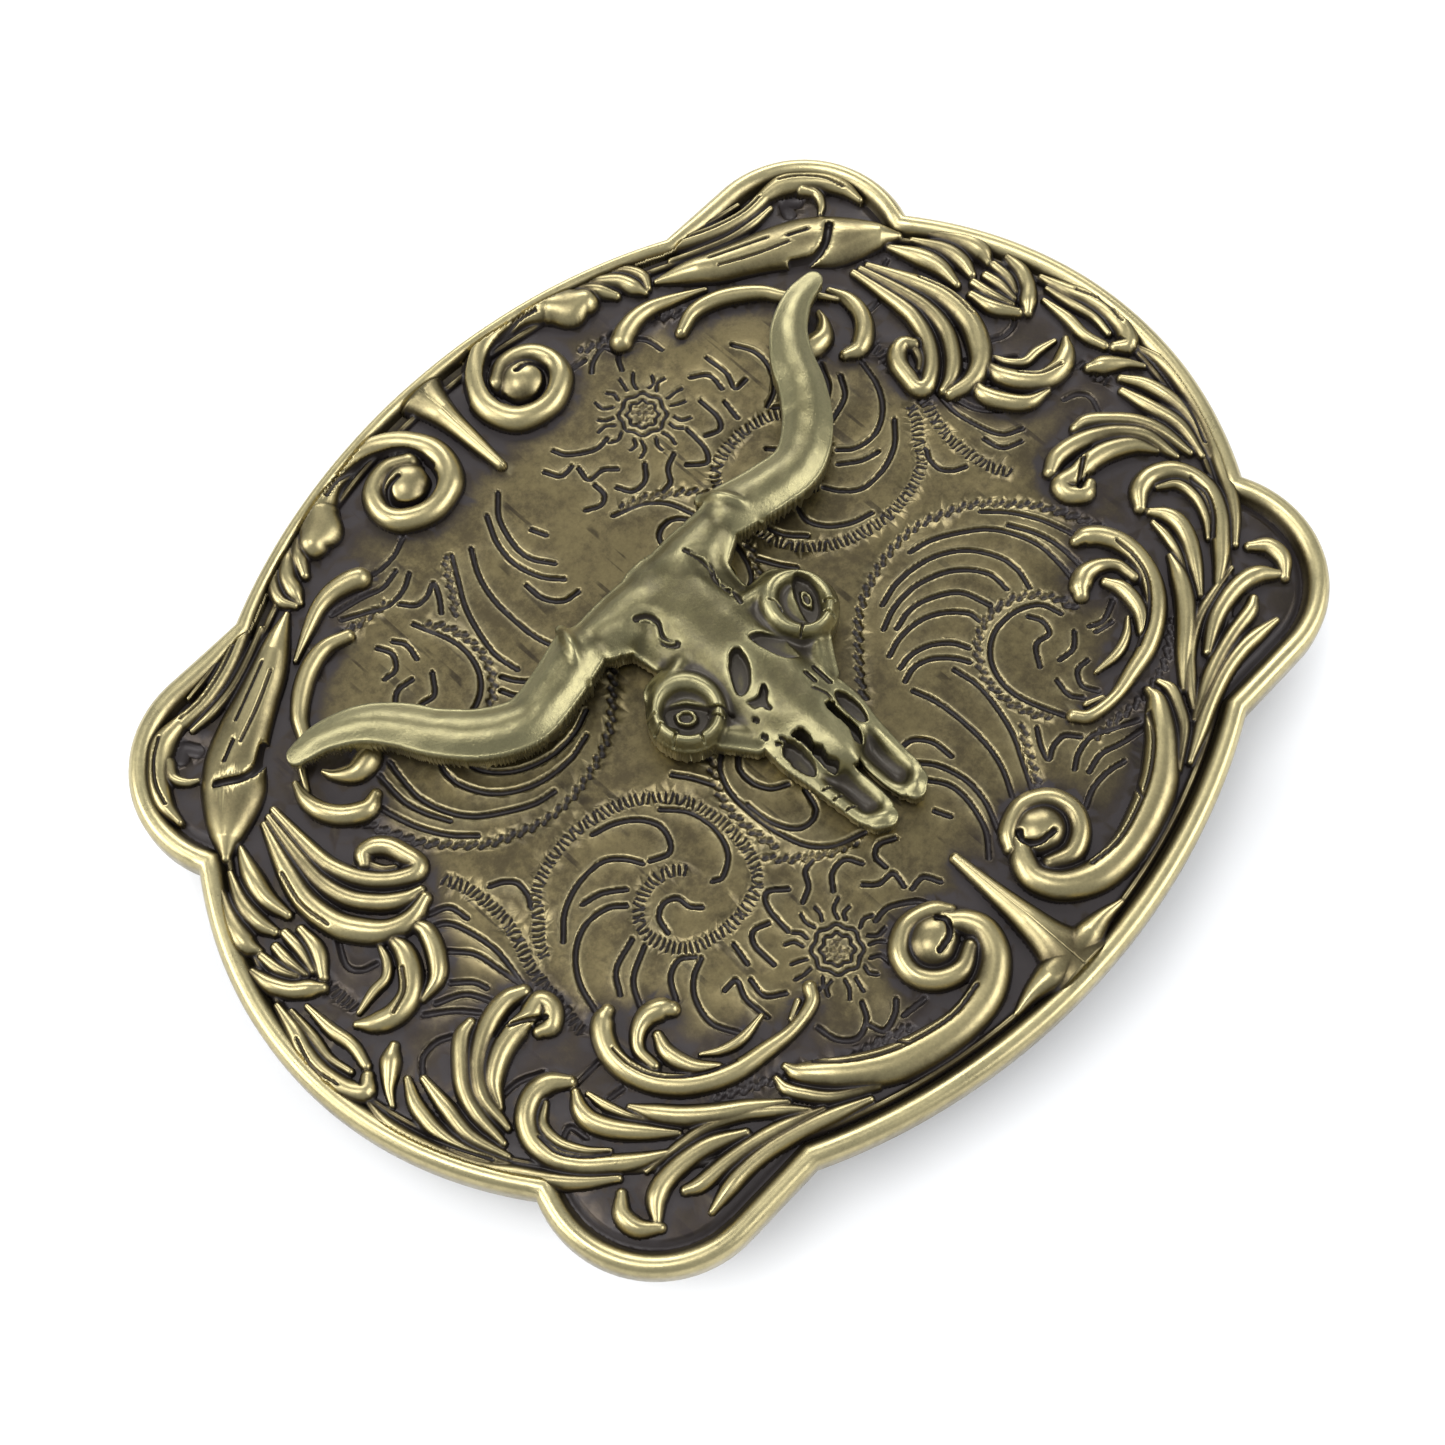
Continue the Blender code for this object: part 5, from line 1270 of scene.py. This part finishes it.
def scratchGroup():
    # Fine straight scratches that run several ways, as a mask
    group, given, out = newGroup("handlingScratches", [("Amount", "NodeSocketFloat", 0.5)],
                                 [("Mask", "NodeSocketFloat")])
    place = addNode(group, "ShaderNodeTexCoord").outputs["Object"]
    total = None
    for k, (turn, scale) in enumerate(((0.4, 900), (1.5, 700), (2.4, 1100), (2.9, 600))):
        streaked = addNode(group, "ShaderNodeMapping", Vector=place, Rotation=(0, 0, turn),
                           Scale=(1, 0.03, 1), Location=(k * 0.37, 0, 0)).outputs[0]
        line = spread(group, noise(group, streaked, scale), 0.685, 0.72)
        patch = noise(group, place, 190 + 60 * k)
        line = maths(group, "MULTIPLY", line, spread(group, patch, 0.5, 0.62))
        total = line if total is None else maths(group, "MAXIMUM", total, line)
    group.links.new(maths(group, "MULTIPLY", total, given["Amount"], clamp=True), out["Mask"])
    return group


def patinaGroup(scratches):
    # Antique brass: dark where the relief is hollow, rubbed pale where it stands, blotched in between
    group, given, out = newGroup("antiqueBrass", [
        ("Bright", "NodeSocketColor", srgb(214, 198, 128)), ("Body", "NodeSocketColor", srgb(140, 125, 72)),
        ("Dark", "NodeSocketColor", srgb(40, 32, 28)), ("Fine", "NodeSocketFloat", 0.0),
        ("Wide", "NodeSocketFloat", 0.0), ("Rub", "NodeSocketFloat", 0.5), ("Soak", "NodeSocketFloat", 0.5),
        ("Blotch", "NodeSocketFloat", 0.5), ("Scratches", "NodeSocketFloat", 0.5)],
        [("Colour", "NodeSocketColor"), ("Roughness", "NodeSocketFloat"), ("Metallic", "NodeSocketFloat"),
         ("Height", "NodeSocketFloat")])

    def add(a, b):
        return maths(group, "ADD", a, b)

    def times(a, b):
        return maths(group, "MULTIPLY", a, b)

    place = addNode(group, "ShaderNodeTexCoord").outputs["Object"]
    broad = noise(group, place, 170, 4, 0.62)
    small = noise(group, place, 1100, 5, 0.72)
    grain = noise(group, place, 4300, 4, 0.7)
    clean = spread(group, add(times(broad, 0.55), times(small, 0.45)), 0.38, 0.62)
    dirty = maths(group, "SUBTRACT", 1.0, clean)
    ruffle = times(maths(group, "SUBTRACT", small, 0.5), 0.35)
    stand = add(add(times(given["Fine"], 3.2), given["Wide"]), ruffle)
    rubbed = times(spread(group, stand, 0.02, 0.75), given["Rub"])
    soaked = times(spread(group, times(stand, -1.0), 0.06, 0.55), given["Soak"])
    soaked = maths(group, "MINIMUM", soaked, 1.0)
    body = mixColour(group, times(dirty, given["Blotch"]), given["Body"], given["Dark"])
    lines = addNode(group, "ShaderNodeGroup", {"node_tree": scratches}, Amount=given["Scratches"]).outputs[0]
    body = mixColour(group, times(lines, 0.7), body, given["Dark"])
    colour = mixColour(group, rubbed, body, given["Bright"])
    colour = mixColour(group, soaked, colour, given["Dark"])
    speck = add(0.76, times(grain, 0.46))
    specks = addNode(group, "ShaderNodeCombineColor", Red=speck, Green=speck, Blue=speck).outputs[0]
    colour = mixColour(group, 1.0, colour, specks, "MULTIPLY")
    group.links.new(colour, out["Colour"])
    rough = add(add(0.33, times(dirty, 0.1)), times(soaked, 0.14))
    rough = maths(group, "SUBTRACT", rough, times(rubbed, 0.05))
    rough = add(rough, times(maths(group, "SUBTRACT", grain, 0.5), 0.12))
    group.links.new(rough, out["Roughness"])
    group.links.new(maths(group, "SUBTRACT", 1.0, times(soaked, 0.45)), out["Metallic"])
    relief = maths(group, "SUBTRACT", add(times(grain, 0.6), times(small, 0.5)), times(lines, 0.35))
    group.links.new(relief, out["Height"])
    return group


def brassMaterial(name, patina, attributes=True, bump=0.012, coat=0.2, coatRough=0.3, patinaShadeAndSheen=None, **values):
    material = bpy.data.materials.new(name)
    material.use_nodes = True
    tree = material.node_tree
    tree.nodes.clear()
    out = tree.nodes.new("ShaderNodeOutputMaterial")
    shader = tree.nodes.new("ShaderNodeBsdfPrincipled")
    inner = addNode(tree, "ShaderNodeGroup", {"node_tree": patina}, **values)
    if attributes:
        for label in ("Fine", "Wide"):
            read = addNode(tree, "ShaderNodeAttribute", {"attribute_name": label.lower()})
            tree.links.new(read.outputs["Fac"], inner.inputs[label])
    colour = inner.outputs["Colour"]
    if patinaShadeAndSheen:
        # towards the scrolls and the border the ground turns a cool grey brown: patina with painted shade and
        # painted sheen
        read = addNode(tree, "ShaderNodeAttribute", {"attribute_name": patinaShadeAndSheen[0]}).outputs["Fac"]
        share = maths(tree, "MULTIPLY", spread(tree, read, patinaShadeAndSheen[1], patinaShadeAndSheen[2]), patinaShadeAndSheen[3])
        colour = mixColour(tree, share, colour, patinaShadeAndSheen[4])
    tree.links.new(colour, shader.inputs["Base Color"])
    tree.links.new(inner.outputs["Roughness"], shader.inputs["Roughness"])
    tree.links.new(inner.outputs["Metallic"], shader.inputs["Metallic"])
    raised = addNode(tree, "ShaderNodeBump", Strength=1.0, Distance=bump * mm, Height=inner.outputs["Height"])
    tree.links.new(raised.outputs[0], shader.inputs["Normal"])
    shader.inputs["Coat Weight"].default_value = coat
    shader.inputs["Coat Roughness"].default_value = coatRough
    tree.links.new(shader.outputs[0], out.inputs[0])
    return material


# Floor, light and camera
stageValues = {
    "floorSize": 2.4, "floorColour": (0.95, 0.95, 0.955, 1),
    "worldColour": (0.91, 0.95, 1.0, 1), "worldStrength": 0.56,
    # name, place, what it faces, size, power in watts
    "lamps": [("farSoftbox", (0.62, 0.66, 0.62), (0, 0, 0), (0.8, 0.5), 6.4),
              ("leftSoftbox", (-0.75, 0.5, 0.55), (0, 0, 0), (0.8, 0.6), 7.4),
              ("rightSoftbox", (0.5, -0.72, 0.5), (0, 0, 0), (0.8, 0.5), 5.6),
              ("overhead", (-0.25, 0.1, 1.0), (0, 0, 0), (0.5, 0.4), 4.0)],
    "cameraPlace": (-59.73, -59.89, 202.66), "lens": 62.8, "sensor": 36.0,
    "cameraX": (0.69008, -0.72355, -0.01666), "cameraY": (0.67317, 0.63324, 0.38189),
    "cameraZ": (-0.26577, -0.27474, 0.92406),
}


def buildStage():
    v = stageValues
    bpy.ops.mesh.primitive_plane_add(size=v["floorSize"], location=(0, 0, 0))
    floor = bpy.context.active_object
    floor.name = "studioFloor"
    paper = bpy.data.materials.new("paleFloor")
    paper.use_nodes = True
    shader = paper.node_tree.nodes["Principled BSDF"]
    shader.inputs["Base Color"].default_value = v["floorColour"]
    shader.inputs["Roughness"].default_value = 0.7
    floor.data.materials.append(paper)
    world = bpy.data.worlds.new("studio")
    bpy.context.scene.world = world
    world.use_nodes = True
    back = world.node_tree.nodes["Background"]
    back.inputs[0].default_value = v["worldColour"]
    back.inputs[1].default_value = v["worldStrength"]
    for name, place, aim, size, power in v["lamps"]:
        data = bpy.data.lights.new(name, "AREA")
        data.shape = "RECTANGLE"
        data.size, data.size_y = size
        data.energy = power
        lamp = bpy.data.objects.new(name, data)
        bpy.context.collection.objects.link(lamp)
        lamp.location = place
        lamp.rotation_euler = (Vector(aim) - Vector(place)).to_track_quat("-Z", "Y").to_euler()
    data = bpy.data.cameras.new("camera")
    data.lens, data.sensor_width = v["lens"], v["sensor"]
    data.clip_start, data.clip_end = 0.005, 10
    camera = bpy.data.objects.new("camera", data)
    bpy.context.collection.objects.link(camera)
    columns = [Vector(v[k]) for k in ("cameraX", "cameraY", "cameraZ")]
    place = Vector(v["cameraPlace"]) * mm
    camera.matrix_world = Matrix([[columns[0][r], columns[1][r], columns[2][r], place[r]] for r in range(3)]
                                 + [[0, 0, 0, 1]])
    bpy.context.scene.camera = camera
    bpy.context.scene.view_settings.view_transform = "Standard"


clearSelection()
print("finishes")
scratches = scratchGroup()
patina = patinaGroup(scratches)
# The ground's cool grey brown near the scrolls and border is partly patina, partly painted shade and painted
# sheen
fieldBrass = brassMaterial("engravedBrass", patina, Bright=srgb(178, 166, 126), Body=srgb(119, 107, 74),
                           Dark=srgb(34, 28, 26), Rub=0.6, Soak=1.0, Blotch=0.65, Scratches=0.9,
                           patinaShadeAndSheen=("hollow", 0.12, 0.85, 0.88, srgb(50, 44, 44)))
scrollBrass = brassMaterial("scrollBrass", patina, Bright=srgb(184, 171, 126), Body=srgb(91, 81, 55),
                            Dark=srgb(36, 30, 28), Rub=0.86, Soak=1.0, Blotch=0.45, Scratches=0.25)
shellBrass = brassMaterial("rimBrass", patina, Bright=srgb(186, 174, 130), Body=srgb(110, 99, 70),
                           Dark=srgb(38, 31, 28), Rub=1.0, Soak=1.0, Blotch=0.4, Scratches=0.3)
skullBrass = brassMaterial("skullBrass", patina, Bright=srgb(158, 151, 112), Body=srgb(100, 94, 65),
                           Dark=srgb(58, 52, 46), Rub=0.72, Soak=0.9, Blotch=0.35, Scratches=0.1, bump=0.045)
hardwareBrass = brassMaterial("hardwareBrass", patina, attributes=False, Bright=srgb(186, 174, 124),
                              Body=srgb(140, 130, 92), Dark=srgb(60, 50, 42), Rub=0.5, Soak=0.6, Blotch=0.3,
                              Scratches=0.6, Fine=0.0, Wide=0.1)
print("stage")
buildStage()
print("cast plate")
buildShell(shellBrass)
buildField(fieldBrass)
buildScrolls(scrollBrass)
print("skull")
buildSkull(skullBrass)
print("back hardware")
buildBack(hardwareBrass)
